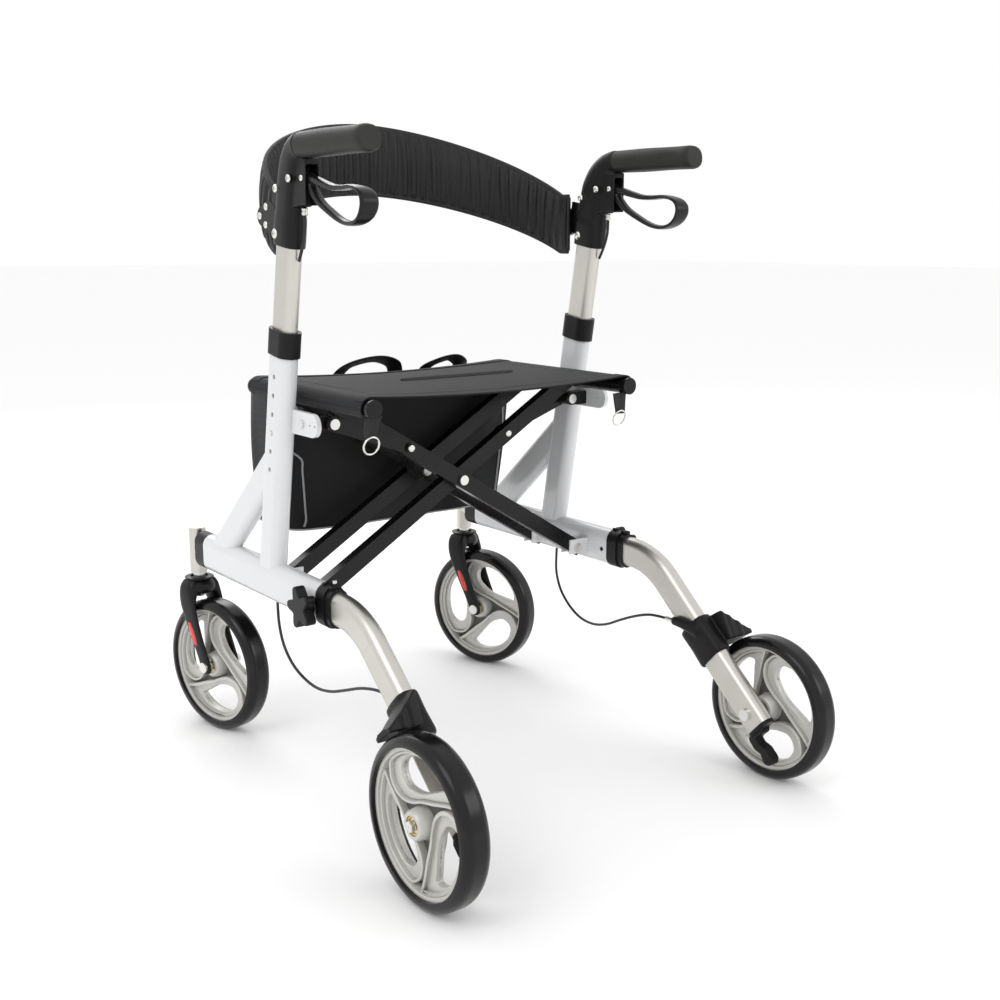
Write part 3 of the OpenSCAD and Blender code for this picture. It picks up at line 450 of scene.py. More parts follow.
def make_rim(name, centre, axle, hub_half, phase, body, node):
    """Rim with three swirled openings, each inside a raised rib, a deep ring and a hub with its bearings."""
    axle = Vector(axle).normalized()
    level = axle.cross(Vector((0, 0, 1))).normalized()
    middle = Vector(centre)

    def place(u, v, w):
        return middle + level * u + Vector((0, 0, 1)) * v + axle * w

    parts = []
    openings = [smooth_outline(polar(OPENING, phase + 120 * k)) for k in range(3)]
    for k, opening in enumerate(openings):
        lobe = smooth_outline(polar(LOBE, phase + 120 * k))
        middle_of = Vector((sum(p[0] for p in lobe) / len(lobe), sum(p[1] for p in lobe) / len(lobe), 0))
        inner = []
        for i, (x, y) in enumerate(lobe):
            px, py = lobe[i - 1]
            nx, ny = lobe[(i + 1) % len(lobe)]
            tangent = Vector((nx - px, ny - py, 0)).normalized()
            normal = Vector((-tangent.y, tangent.x, 0))
            if normal.dot(middle_of - Vector((x, y, 0))) < 0:
                normal = -normal
            inner.append((x + normal.x * RIB_WIDTH, y + normal.y * RIB_WIDTH))
        parts.append(slab(f"{name}_rib{k}", [lobe, inner], 10.5, 1.2, "rim_plastic", place))
        parts.append(slab(f"{name}_web{k}", [inner, opening], 5.5, 1.8, "rim_plastic", place))
    # the pockets between the lobes get pocket_shade, the rim plastic darkened as painted shade in their
    # recesses
    pocket = slab(f"{name}_pockets", [circle(RIM_R, 96)] + openings, 1.5, 0.5, "pocket_shade", place, body)
    ring = [(86, -13), (86, 13), (82.5, 13), (81.6, 12.4), (80.6, 8), (79.6, 5), (79.6, -5), (80.6, -8),
            (81.6, -12.4), (82.5, -13)]
    parts.append(lathe(name + "_ring", ring, middle, axle, "rim_plastic", steps=160))
    hub = [(11.6, -hub_half), (15.5, -hub_half), (17.4, -hub_half + 2), (18.6, -9), (20, -4), (20, 4),
           (18.6, 9), (17.4, hub_half - 2), (15.5, hub_half), (11.6, hub_half), (11.6, hub_half - 5),
           (5.6, hub_half - 6), (5.6, -hub_half + 6), (11.6, -hub_half + 5)]
    parts.append(lathe(name + "_hub", hub, middle, axle, "rim_plastic", steps=64))
    rim = join(name, parts, "rim_plastic", body, 40)
    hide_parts(node)
    for s in (-1, 1):
        seat = middle + axle * s * (hub_half - 5)
        way = axle * s
        race = [(8.2, 0.2), (11.4, 0.2), (11.4, 3.2), (10.9, 3.8), (9.0, 3.8), (8.6, 3.2)]
        lathe(f"{name}_bearing{s + 1}", race, seat, way, "brass", body, steps=48)
        core = [(4.1, 0.2), (8.2, 0.2), (8.2, 2.2), (6.6, 2.4), (6.4, 4.2), (5.9, 4.6), (4.1, 4.6)]
        lathe(f"{name}_race{s + 1}", core, seat, way, "bolts", body, steps=48)


def make_tyre(name, centre, axle, body, node):
    """Solid tyre with rounded shoulders and a slightly crowned tread."""
    half, corner, outer = 18.5, 12.5, WHEEL_R
    profile = [(86.05, -half + 1.2), (86.8, -half + 0.2), (outer - corner - 1, -half)]
    for k in range(0, 13):
        t = math.pi / 2 * k / 12
        profile.append((outer - corner + corner * math.sin(t), -half + corner - corner * math.cos(t)))
    profile += [(outer - 0.05, -3), (outer, 0)]
    profile += [(r, -h) for r, h in reversed(profile[:-1])]
    tyre = lathe(name, profile, centre, axle, "tyre", body, steps=200)
    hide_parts(node)


def make_wheels():
    for (side, s), rim_turns in zip(SIDES, ((0, 56), (20, 0))):
        a = math.radians(CASTER_TURN[side])
        front = (s * SIDE_X + TRAIL * math.sin(a), STEM_Y - TRAIL * math.cos(a), WHEEL_R)
        rear = (s * REAR_X, *AXLE)
        wheels = (("front", front, (math.cos(a), math.sin(a), 0), 18, rim_turns[0]),
                  ("rear", rear, (1, 0, 0), 20, rim_turns[1]))
        for end, middle, axle, hub_half, turn in wheels:
            wheel = f"{side}_{end}"
            make_rim(wheel + "_rim_moulding", middle, axle, hub_half, turn, wheel + "_wheel", wheel + "_rim")
            make_tyre(wheel + "_tyre_tread", middle, axle, wheel + "_wheel", wheel + "_tyre")


# ---------- steel, paint and plastic ----------

SLOT_OF = {p["node"]: p["material_slot"] for p in frame["record"]["subparts"]}


def finish_cad_nodes():
    for name, node in NODES.items():
        slot = SLOT_OF[name]
        node.data.materials.clear()
        node.data.materials.append(MATERIALS[slot])
        node.data.polygons.foreach_set("use_smooth", [True] * len(node.data.polygons))
        node.data.set_sharp_from_angle(angle=math.radians(30))


def side_point(s, p):
    """A point given for the left side, mirrored for the right one."""
    return Vector((p[0] if s < 0 else -p[0], p[1], p[2]))


def box_solid(low, high, material="black_plastic"):
    (x0, y0, z0), (x1, y1, z1) = low, high
    verts = [(x, y, z) for x in (x0, x1) for y in (y0, y1) for z in (z0, z1)]
    faces = [(0, 1, 3, 2), (4, 6, 7, 5), (0, 4, 5, 1), (2, 3, 7, 6), (0, 2, 6, 4), (1, 5, 7, 3)]
    return to_object("solid", verts, faces, material)


def make_handles():
    for side, s in SIDES:
        body = f"{side}_handle"
        make_housing(side, s, body)
        make_lever(side, s)
        make_grip(side, s, body)
        for k, (y, z, r) in enumerate(((7.5, 800, 5), (41, 789, 5), (46, 735, 6))):
            for way in (-1, 1):
                at = (s * SIDE_X + way * 14.6, y, z)
                bolt = button_head(f"{side}_housing_bolt{k}{way + 1}", at, (way, 0, 0), r, 3.2, body)
        for way in (-1, 1):
            at = (s * SIDE_X + way * 9.6, *LEVER_PIVOT)
            pin = button_head(f"{side}_lever_pin{way + 1}", at, (way, 0, 0), 4, 2, body)
        profile = [(0, 0), (3.4, 0), (3.9, 0.6), (3.9, 4), (3.2, 4.4), (3.2, 5.2), (3.9, 5.6), (3.9, 8),
                   (2.6, 9.5), (0, 9.5)]
        barrel = lathe(f"{side}_barrel_adjuster", profile, (s * SIDE_X, -3, 756.5), (0, 0, 1), "bolts", body,
                       steps=32, closed=False)
        for k, (y, z) in enumerate(((90, 768), (107, 757), (92, 746))):
            for way in (-1, 1):
                at = (s * (SIDE_X + way * 3), y, z)
                rivet = button_head(f"{side}_plate_rivet{k}{way + 1}", at, (s * way, 0, 0), 4.6, 2.2, body,
                                    socket=False)


def make_housing(side, s, body):
    """Moulded elbow from the tube's sleeve back into the grip, with the lever's block under it."""
    elbow = [(37.8, 719.6), (36.9, 725), (35.6, 733), (33.8, 746), (30.6, 765), (27.2, 784), (22.6, 802),
             (15.2, 818.5), (5.0, 830), (-6.0, 836), (-15.5, GRIP_Z)]
    path = catmull([(s * (SIDE_X + (GRIP_X - SIDE_X) * max(0, i - 6) / 4), y, z)
                    for i, (y, z) in enumerate(elbow)], 4)
    # half-widths of the elbow, as (place along it, sideways, fore and aft)
    keys = [(0, 15.0, 25.6), (2, 15.6, 26.0), (3.4, 15.6, 26.0), (3.7, 14.4, 25.0), (6, 14.6, 24.0),
            (7, 15.2, 21.5), (8, 15.6, 18.6), (9, 15.8, 16.6), (10, 16.0, 16.0)]

    def section(t):
        i = t * (len(elbow) - 1)
        for (i0, a0, b0), (i1, a1, b1) in zip(keys, keys[1:]):
            if i <= i1:
                f = (i - i0) / (i1 - i0)
                boxy = 2.7 - 0.4 * max(0, (i - 6) / 4)
                return ellipse(a0 + (a1 - a0) * f, b0 + (b1 - b0) * f, 48, boxy)
        return ellipse(16, 16, 48, 2.3)

    shell = sweep("solid", path, section, "black_plastic")
    x = s * SIDE_X
    cheeks = [box_solid((x + a, -24, 768), (x + b, 12, 821)) for a, b in ((-10, -7.9), (7.9, 10))]
    roof = box_solid((x - 10, -24, 815), (x + 10, 12, 823))
    back = box_solid((x - 10, -3, 766.5), (x + 10, 14, 821))
    housing = join(f"{side}_handle_shell", [shell, *cheeks, roof, back], "black_plastic")
    moulded(housing, 1.2, 5)
    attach(housing, body)
    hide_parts(f"{side}_handle_housing")


def make_lever(side, s):
    """Loop lever: broad upper arm, wide strap round the fingers, thin lower arm back to the pivot."""
    # middle line and half-sizes, as (y, z, sideways, thickness), drawn in towards the first point
    loop = [(-16, 799, 6.6, 5.6), (-34, 796.5, 6.8, 4.8), (-56, 791, 7.4, 4.2),
            (-80, 786, 8.0, 3.6), (-104, 785, 8.0, 3.2), (-128, 785.5, 9.0, 2.8),
            (-150, 781.5, 11.5, 2.4), (-161.5, 774, 12.5, 2.2), (-164.5, 763.5, 12.8, 2.2),
            (-159.5, 752, 12.2, 2.3), (-148, 743.5, 10.6, 2.6), (-132, 739.5, 8.6, 3.0),
            (-112, 740, 7.2, 3.0), (-92, 745.5, 6.6, 3.0), (-70, 755, 6.4, 3.4),
            (-48, 766, 6.4, 3.8), (-32, 778, 6.6, 4.6), (-22, 789, 6.6, 5.4)]
    start_y, start_z = loop[0][:2]
    drawn_in = [(start_y + (y - start_y) * 0.9, start_z + (z - start_z) * 0.88, w) for y, z, w, h in loop]
    fine = catmull(drawn_in, 5, closed=True)
    thick = catmull([(h, 0, 0) for y, z, w, h in loop], 5, closed=True)
    path = [Vector((s * SIDE_X, p.x, p.y)) for p in fine]
    n = len(path)

    def section(t):
        i = round(t * n) % n
        return ellipse(fine[i].z, thick[i].x, 16, 3.0)

    arm = sweep("solid", path, section, "lever_plastic", up=(1, 0, 0), closed=True)
    profile = [(4.1, -7.2), (7.2, -7.2), (7.6, -6.6), (7.6, 6.6), (7.2, 7.2), (4.1, 7.2)]
    boss = lathe("solid", profile, (s * SIDE_X, *LEVER_PIVOT), (1, 0, 0), "lever_plastic", steps=32)
    lever = join(f"{side}_lever_loop", [arm, boss], "lever_plastic")
    moulded(lever, 1.0, 2)
    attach(lever, f"{side}_lever")
    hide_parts(f"{side}_brake_lever")


def make_grip(side, s, body):
    """Anatomic rubber grip with a flat slanted end and a scooped recess on its inner side."""
    stations = (-165, -162.5, -158, -150, -140, -128, -115, -100, -84, -68, -52, -38, -26, -18, -15)
    path = [Vector((s * GRIP_X, y, GRIP_Z)) for y in stations]
    n = len(path)

    def section(t):
        i = round(t * (n - 1))
        y = path[i].y
        end = max(0.0, (y + 158) / -7) if y < -158 else 0.0
        palm = 0.6 * math.cos((y + 70) / 60 * math.pi)
        rx, rz = 15.9 - 2.2 * end ** 2, 15.6 + palm * 0.6 - 2.2 * end ** 2
        ring = []
        for a, b in ellipse(rx, rz, 48, 2.25):
            inner = -a * s
            dip = 0.0
            if inner > 0.3 * rx:
                hollow = math.exp(-((y + 128) / 22) ** 2)
                dip = 2.6 * hollow * min(1, (inner / rx - 0.3) / 0.4) * math.exp(-(b / 9) ** 2)
            ring.append((a + s * dip, b))
        return ring

    grip = sweep(f"{side}_grip_rubber", path, section, "grip_rubber", body, up=(1, 0, 0), sharp=50)
    for vertex in grip.data.vertices:
        y = vertex.co.y / MM
        if y < -150:
            vertex.co.y += (vertex.co.z / MM - GRIP_Z) * 0.12 * MM * min(1, (-150 - y) / 8)
    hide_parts(f"{side}_grip")


def make_scissor_details():
    """Rivet heads of the folding links, and the webbing tabs with their rings under the seat tubes."""
    bars = ("cross_b", "cross_a")
    for k, (body, at) in enumerate(zip(bars, ((-92.6, 3.4, 455.8), (92.6, 29.8, 455.8)))):
        button_head(f"link_rivet{k}", at, (0, -1, 0), 5.2, 2.6, body, socket=False)
    for (side, s), body in zip(SIDES, bars):
        x, y = s * 204, -80
        rows = []
        for i in range(15):
            t = i / 14
            z = 517 - 30 * t
            half = 12 - 3.5 * t
            drift = x + 3.5 * s * math.sin(2.2 * t)
            rows.append([(drift + half * (k / 6 - 0.5) * 2, y + 2.2 * math.sin(3 * t) - 1.6 * math.cos(k), z)
                         for k in range(7)])
        tab = grid_mesh(f"{side}_ring_tab", rows, "webbing")
        thicken(tab, 2.4, offset=-1)
        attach(tab, body)
        ring = []
        for k in range(40):
            a = 2 * math.pi * k / 40
            ring.append(Vector((x + s * 3 + 11 * math.cos(a), y - 3 * math.sin(a), 481 + 11 * math.sin(a))))
        wire = ellipse(1.3, 1.3, 10)
        hoop = sweep(f"{side}_d_ring", ring, lambda t: wire, "bolts", body, up=(0, 1, 0), closed=True)


def caster_point(s, turn, x, y, z):
    """A point given across, along and above the stem's foot, with the caster turned."""
    return Vector((s * SIDE_X + x * math.cos(turn) - y * math.sin(turn),
                   STEM_Y + x * math.sin(turn) + y * math.cos(turn), z))


def make_fork(side, s, turn):
    """Caster fork: a domed crown with sloping shoulders, and two arms that sweep back to the axle."""
    def at(x, y, z):
        return caster_point(s, turn, x, y, z)

    across = at(1, 0, 0) - at(0, 0, 0)
    # an arm's middle line and half-sizes, as (x, y, z, sideways, fore and aft)
    spine = [(11, 2, 222, 10, 15), (17, 1, 213, 11, 17), (22.5, -1, 200, 7, 17), (25, -5, 186, 4.4, 16),
             (25.6, -11, 170, 3.7, 14), (25.6, -18, 152, 3.6, 12.5), (25.6, -26, 134, 3.6, 11.2),
             (25.6, -34, 117, 3.6, 10.6), (25.6, -41, 100, 3.7, 10.4), (25.6, -43, 92, 3.4, 8.2),
             (25.6, -43.6, 89.2, 2.4, 4)]
    fine = catmull([(x, y, z) for x, y, z, a, b in spine], 4)
    size = catmull([(a, b, 0) for x, y, z, a, b in spine], 4)

    def section(t):
        half = size[round(t * (len(fine) - 1))]
        return ellipse(half.x, half.y, 28, 3.0)

    solids = []
    for way in (-1, 1):
        path = [at(way * p.x, p.y, p.z) for p in fine]
        solids.append(sweep("solid", path, section, "fork_plastic", up=tuple(across)))
    dome = [(0, 204), (15, 204), (21, 206), (23.5, 212), (22, 220), (17.5, 225.5), (13, 227.4), (0, 227.4)]
    dome = [(max(r, 0.01), z) for r, z in dome]
    solids.append(lathe("solid", dome, at(0, 0, 0), (0, 0, 1), "fork_plastic", steps=64))
    fork = join(f"{side}_fork_moulding", solids, "fork_plastic")
    moulded(fork, 1.15, 7)
    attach(fork, f"{side}_caster")
    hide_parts(f"{side}_fork")
    disc = [(13.2, 226.6), (20.6, 226.8), (21.6, 227.6), (21.6, 228.6), (20.4, 229.4), (16.6, 230),
            (13.2, 230)]
    cap = lathe(f"{side}_dust_disc", disc, at(0, 0, 0), (0, 0, 1), "fork_plastic", f"{side}_caster", steps=64)


GUARD_R = 103.4      # inner radius of the guard, clear of the tyre


def make_brake_cover(side, s):
    """Collar clamped round the leg, with a short guard that stands over the tyre and a lug for the cable."""
    angle = LEG_ANGLE
    along = Vector((0, math.cos(angle), math.sin(angle)))
    foot = Vector((s * SIDE_X, *AXLE))
    path = [foot + along * d for d in (90, 92, 96, 106, 118, 132, 142, 146, 148)]
    swell = (-1.0, 0, 0.3, 0, -0.4, 0, 0.3, 0, -1.0)

    def section(t):
        more = swell[round(t * (len(path) - 1))]
        return ellipse(15.6 + more, 25.4 + more, 48, 3.2)

    solids = [sweep("solid", path, section, "black_plastic")]
    rows = []
    for k in range(15):
        t = k / 14
        x = 256 + 46 * t
        top = GUARD_R + 42 * (1 - t) ** 1.1 + 6 * t
        rib = 0.9 if k in (3, 4, 7, 8) else 0
        ring = []
        for j in range(11):
            a = math.radians(41 - rib + (20 + 2 * rib) * j / 10)
            ring.append((s * x, AXLE[0] + GUARD_R * math.cos(a), AXLE[1] + GUARD_R * math.sin(a)))
        for j in range(11):
            a = math.radians(61 + rib - (20 + 2 * rib) * j / 10)
            ring.append((s * x, AXLE[0] + top * math.cos(a), AXLE[1] + top * math.sin(a)))
        rows.append(ring)
    solids.append(grid_mesh("solid", rows, "black_plastic", closed=True, caps=True))
    lug_z = 184 if s < 0 else 200
    lug = [(s * (SIDE_X - 17), -176, lug_z), (s * (SIDE_X - 17), -190, lug_z),
           (s * (SIDE_X - 15), -206, lug_z - 2), (s * (SIDE_X - 12), -222, lug_z - 6)]
    solids.append(sweep("solid", catmull(lug, 4), lambda t: ellipse(5 + 2 * t, 6 + 3 * t, 16, 2.6),
                        "black_plastic", up=(1, 0, 0)))
    cover = join(f"{side}_brake_cover", solids, "black_plastic")
    moulded(cover, 1.3, 6)
    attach(cover, f"{side}_side")
    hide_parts(f"{side}_brake_housing")
    rows = []
    for k in range(13):
        a = math.radians(44 + k)
        r = 110.5 if 0 < k < 12 else 109.5
        outline = ((275, GUARD_R), (301, GUARD_R), (302, 104.4), (302, r), (274, r), (274, 104.4))
        rows.append([(s * x, AXLE[0] + q * math.cos(a), AXLE[1] + q * math.sin(a)) for x, q in outline])
    pad = grid_mesh(f"{side}_shoe_pad", rows, "black_plastic", f"{side}_shoe", closed=True, caps=True)
    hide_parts(f"{side}_brake_shoe")


def make_reflectors(side, s, turn):
    """A long red reflector on the outer face of each fork arm, leaning with it."""
    steps, columns = 9, 5
    for way in (-1, 1):
        verts = []
        for i in range(steps):
            t = i / (steps - 1)
            z = 131 + 34 * t
            half = 5.2 * math.sin(math.pi * min(0.96, max(0.04, t))) ** 0.35
            middle = -9.5 - (165 - z) * 0.43
            for k in range(columns):
                v = (k / (columns - 1) - 0.5) * 2
                x = way * (29.4 + 1.3 * math.cos(v * math.pi / 2))
                verts.append(caster_point(s, turn, x, middle + half * v, z))
        faces = [(i * columns + k, i * columns + k + 1, (i + 1) * columns + k + 1, (i + 1) * columns + k)
                 for i in range(steps - 1) for k in range(columns - 1)]
        shine = to_object(f"{side}_reflector{way + 1}", verts, faces, "reflector", f"{side}_caster")


def make_mouldings():
    for side, s in SIDES:
        turn = math.radians(CASTER_TURN[side])
        make_fork(side, s, turn)
        moulded_copy(f"{side}_star_knob", f"{side}_knob_star", "black_plastic", f"{side}_knob", 1.0, 5)
        make_brake_cover(side, s)
        moulded_copy(f"{side}_tip_lever", f"{side}_tip_pedal", "black_plastic", f"{side}_side", 1.0, 5)
        make_reflectors(side, s, turn)


# ---------- cables ----------

# The CAD's routes, all given on the left side.
LEFT_ROUTE = [(-248, 100, 252), (-248, 100, 238), (-247, 99, 214), (-245, 92, 188), (-242, 76, 166),
              (-239, 52, 152), (-237, 20, 146), (-235, -14, 150), (-233, -50, 162), (-232, -86, 175),
              (-231, -124, 183), (-231, -164, 184)]
RIGHT_ROUTE = [(-248, 100, 252), (-247, 100, 238), (-245, 97, 210), (-242, 82, 184), (-240, 58, 164),
               (-238, 30, 152), (-236, -2, 150), (-234, -34, 158), (-232, -66, 173), (-231, -98, 187),
               (-231, -130, 197), (-231, -164, 200)]
UPPER_ROUTE = [(-248, -3, 764), (-248, -3, 752), (-248, -2, 738), (-248, 2.5, 724), (-248, 8.5, 712),
               (-248, 14.5, 702)]


def make_cable(name, s, route, node, body):
    points = catmull([side_point(s, p) for p in route], 4)
    curve = bpy.data.curves.new(name, "CURVE")
    curve.dimensions = "3D"
    curve.bevel_depth = 2 * MM
    curve.bevel_resolution = 4
    curve.use_fill_caps = True
    spline = curve.splines.new("POLY")
    spline.points.add(len(points) - 1)
    for point, p in zip(spline.points, points):
        point.co = (*(p * MM), 1)
    curve.materials.append(MATERIALS["cable_black"])
    cable = bpy.data.objects.new(name, curve)
    bpy.context.scene.collection.objects.link(cable)
    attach(cable, body)
    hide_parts(node)
    length = sum((b - a).length for a, b in zip(points, points[1:])) * MM


def make_cables():
    ferrule = [(0, 0), (2.9, 0), (3.2, 0.4), (3.2, 4), (2.7, 4.3), (2.7, 9.6), (3.2, 10), (3.2, 13.6),
               (2.9, 14), (0, 14)]
    boot = [(0, 0), (2.6, 0), (3.4, 2), (3.5, 14), (3.2, 18), (2.4, 21.5), (0, 22)]
    lean = Vector((0, -math.sin(LEAN), math.cos(LEAN)))
    rearward = Vector((0, -math.cos(LEAN), -math.sin(LEAN)))
    for (side, s), route in zip(SIDES, (LEFT_ROUTE, RIGHT_ROUTE)):
        end = side_point(s, route[-1]) + Vector((0, 2, 0))
        tip = lathe(f"{side}_cable_ferrule", ferrule, end, (0, -1, 0), "bolts", f"{side}_side", steps=24,
                    closed=False)
        make_cable(f"{side}_lower_brake_cable", s, route, f"{side}_lower_cable", f"{side}_side")
        low = Vector((s * SIDE_X, 114, 264)) + lean * 438 + rearward * 14.5
        grommet = lathe(f"{side}_cable_grommet", boot, low, lean, "black_plastic", f"{side}_handle", steps=24,
                        closed=False)
        make_cable(f"{side}_upper_brake_cable", s, UPPER_ROUTE, f"{side}_upper_cable", f"{side}_handle")


# ---------- soft goods ----------

def grid_mesh(name, rows, material, body=None, closed=False, caps=False, sharp=50):
    """A skin over rows of points. closed joins each row's ends, and caps fills the first and last row."""
    m = len(rows[0])
    verts = [p for row in rows for p in row]
    faces = [(i * m + k, i * m + (k + 1) % m, (i + 1) * m + (k + 1) % m, (i + 1) * m + k)
             for i in range(len(rows) - 1) for k in range(m if closed else m - 1)]
    if caps:
        faces += [list(range(m))[::-1], [(len(rows) - 1) * m + k for k in range(m)]]
    return to_object(name, verts, faces, material, body, sharp)


def seat_height(x, y):
    """The stretched seat sags a little in the middle and along its front and rear hems."""
    across = max(0.0, 1 - (x / 205) ** 2)
    along = ((y - 60) / 147) ** 2
    return SEAT_TOP - across * (1.6 + 5.4 * along)


def make_seat():
    """One stretched cloth round both seat tubes, with hems, stitches and a bound slit to lift it by."""
    tube_x, tube_z = SEAT_TUBE
    y0, y1 = -86.0, 206.0
    r = 13.2
    lift = tube_z + r - SEAT_TOP

    def profile(y):
        """Across the seat: round the left tube, over the seat, and round the right tube, as (x, z)."""
        pts = []
        for k in range(17):
            t = math.radians(-50 + 140 * k / 16)
            pts.append((-tube_x - r * math.cos(t), tube_z + r * math.sin(t)))
        span = 2 * tube_x
        for k in range(1, 60):
            x = -tube_x + span * k / 60
            near = max(0.0, 1 - (tube_x - abs(x)) / 22)
            pts.append((x, seat_height(x, y) + lift * near ** 2))
        for k in range(17):
            t = math.radians(90 - 140 * k / 16)
            pts.append((tube_x + r * math.cos(t), tube_z + r * math.sin(t)))
        return pts

    ys = [y0 + (y1 - y0) * k / 50 for k in range(51)]
    rows = [[(x, y, z) for x, z in profile(y)] for y in ys]
    seat = grid_mesh("seat_cloth", rows, "seat_fabric")
    thicken(seat, 1.4)
    line = profile(60)
    pieces = []
    for k, (ya, yb) in enumerate(((y0 - 0.5, y0 + 21), (y1 - 21, y1 + 0.5))):
        rows = []
        for i in range(9):
            y = ya + (yb - ya) * i / 8
            rows.append([(x, y, z + 0.9) for x, z in profile(y)][10:-10])
        hem = grid_mesh(f"seat_hem{k}", rows, "seat_fabric")
        thicken(hem, 1.6)
        pieces.append(hem)
    # a bound slit, where a hand lifts the seat to fold the walker
    welt = []
    for k in range(25):
        t = 2 * math.pi * k / 24
        square = math.copysign(abs(math.cos(t)) ** 0.35, math.cos(t))
        welt.append((25 + 97 * square, 58.5 + 4.2 * math.sin(t)))
    path = [Vector((x, y, seat_height(x, y) + 1.2)) for x, y in welt[:-1]]
    pieces.append(sweep("seat_slit_binding", path, lambda t: ellipse(2.2, 1.1, 8), "piping_black",
                        up=(0, 0, 1), closed=True))
    # painted shade: the cloth is not cut here, and a glossy black strip inside the binding stands in for the
    # slit's shaded opening
    xs = [-70 + 190 * k / 20 for k in range(21)]
    rows = [[(x, y, seat_height(x, y) + 0.75) for x in xs] for y in (55.4, 61.6)]
    pieces.append(grid_mesh("seat_slit", rows, "cable_black"))
    thread = ellipse(0.45, 0.35, 6)
    for k, y in enumerate((y0 + 19.5, y1 - 19.5)):
        path = [Vector((x, y, z + 1.8)) for x, z in profile(y)][18:-18]
        pieces.append(sweep(f"seat_stitch{k}", path, lambda t: thread, "thread", up=(0, 0, 1)))
    for k, x in enumerate((-188, 188)):
        path = [Vector((x, y0 + 24 + (y1 - y0 - 48) * i / 40, 0)) for i in range(41)]
        for p in path:
            p.z = seat_height(p.x, p.y) + lift * max(0.0, 1 - (tube_x - abs(p.x)) / 22) ** 2 + 0.9
        pieces.append(sweep(f"seat_side_stitch{k}", path, lambda t: thread, "thread", up=(0, 0, 1)))
    for piece in [seat, *pieces]:
        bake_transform(piece)
    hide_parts("seat_fabric")


BAND_LOW = (712, 83)      # height of the band's lower edge at its ends, and its rise to the middle
BAND_HIGH = (791, 99)
PLEAT_PITCH = 15.5
BAND_INSET = 6
BAND_STEPS = 900


def band_path(t):
    """The backrest's curve at t from 0 at the left plate, over 90 in the middle, to 180 at the right."""
    c, sn = math.cos(math.radians(t)), math.sin(math.radians(t))
    power = 2 / 1.8
    rise = sn ** power
    x = -math.copysign((244.5 - BAND_INSET) * abs(c) ** power, c)
    return x, 89.5 + (185 - BAND_INSET) * rise, rise


def make_backrest():
    """A padded band, gathered into upright pleats between two bound edges."""
    random.seed(11)
    stations = 641
    shifts = [random.uniform(-0.35, 0.35) for _ in range(200)]
    depths = [random.uniform(0.55, 1.0) for _ in range(200)]
    raw = [band_path(180 * k / BAND_STEPS) for k in range(BAND_STEPS + 1)]
    lengths = [0.0]
    for a, b in zip(raw, raw[1:]):
        lengths.append(lengths[-1] + math.dist(a[:2], b[:2]))
    total = lengths[-1]

    def at(s):
        """Centre, outward direction and rise at a distance along the band, with straight tails."""
        if s < 0 or s > total:
            over = -s if s < 0 else s - total
            x, y, rise = band_path(0 if s < 0 else 180)
            return Vector((x, y - over, 0)), Vector((-1 if s < 0 else 1, 0, 0)), rise
        lo, hi = 0, BAND_STEPS
        while hi - lo > 1:
            mid = (lo + hi) // 2
            lo, hi = (mid, hi) if lengths[mid] <= s else (lo, mid)
        f = (s - lengths[lo]) / max(1e-9, lengths[hi] - lengths[lo])
        a, b = Vector(raw[lo]), Vector(raw[hi])
        p = a.lerp(b, f)
        along = Vector((b.x - a.x, b.y - a.y, 0)).normalized()
        return Vector((p.x, p.y, 0)), Vector((-along.y, along.x, 0)), p.z

    steps = 22
    rows = []
    for i in range(stations):
        s = -14 + (total + 28) * i / (stations - 1)
        p, out, rise = at(s)
        low = BAND_LOW[0] + BAND_LOW[1] * rise
        height = BAND_HIGH[0] + BAND_HIGH[1] * rise - low
        end = min(1.0, min(s + 14, total + 14 - s) / 26)
        cell = (s + 20) / PLEAT_PITCH
        n = int(cell)
        phase = cell - n
        depth = depths[n % 200]
        ring = []
        for face in (1, -1):
            for k in range(steps + 1):
                v = k / steps if face > 0 else 1 - k / steps
                z = low + height * v
                edge = math.sin(math.pi * min(1, max(0, v))) ** 0.45
                wander = phase + shifts[n % 200] * math.sin(v * 3.1 + n) * 0.35
                pleat = (0.5 - 0.5 * math.cos(2 * math.pi * wander)) * depth
                fade = min(1, min(v, 1 - v) / 0.30)
                pleat_size = 6.4 * (1 - 0.35 * fade) * (0.2 + 0.8 * end)
                fine = 0.5 * math.sin(2 * math.pi * (3 * phase + 0.3 * n) + 4 * v) * (1 - 0.6 * fade) * end
                bulge = (2.6 + 8.0 * edge * (0.3 + 0.7 * end)) - pleat_size * (1 - pleat) * edge + fine
                ring.append(p + out * face * max(1.3, bulge) + Vector((0, 0, z)))
        rows.append(ring)
    band = grid_mesh("backrest_pad", rows, "backrest_fabric", closed=True, caps=True)
    pieces = [band]
    for name, (height, climb), inward in (("top", BAND_HIGH, -0.6), ("bottom", BAND_LOW, 0.6)):
        path = []
        for i in range(181):
            p, out, rise = at(-15 + (total + 30) * i / 180)
            path.append(p + Vector((0, 0, (height + climb * rise) + inward)))
        pieces.append(sweep(f"backrest_{name}_binding", path, lambda t: ellipse(4.4, 3.3, 12, 3.2), "webbing",
                            up=(0, 0, 1)))
    for k, s in enumerate((-16, total + 16)):
        p, out, rise = at(s)
        path = [p + Vector((0, 0, 713 + 77 * i / 12)) for i in range(13)]
        pieces.append(sweep(f"backrest_end_binding{k}", path, lambda t: ellipse(3.0, 2.4, 12, 2.6), "webbing",
                            up=(1, 0, 0)))
    for piece in pieces:
        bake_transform(piece)
    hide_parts("backrest_left_half", "backrest_right_half")


BAG_TOP = 520
BAG_BOTTOM = 324


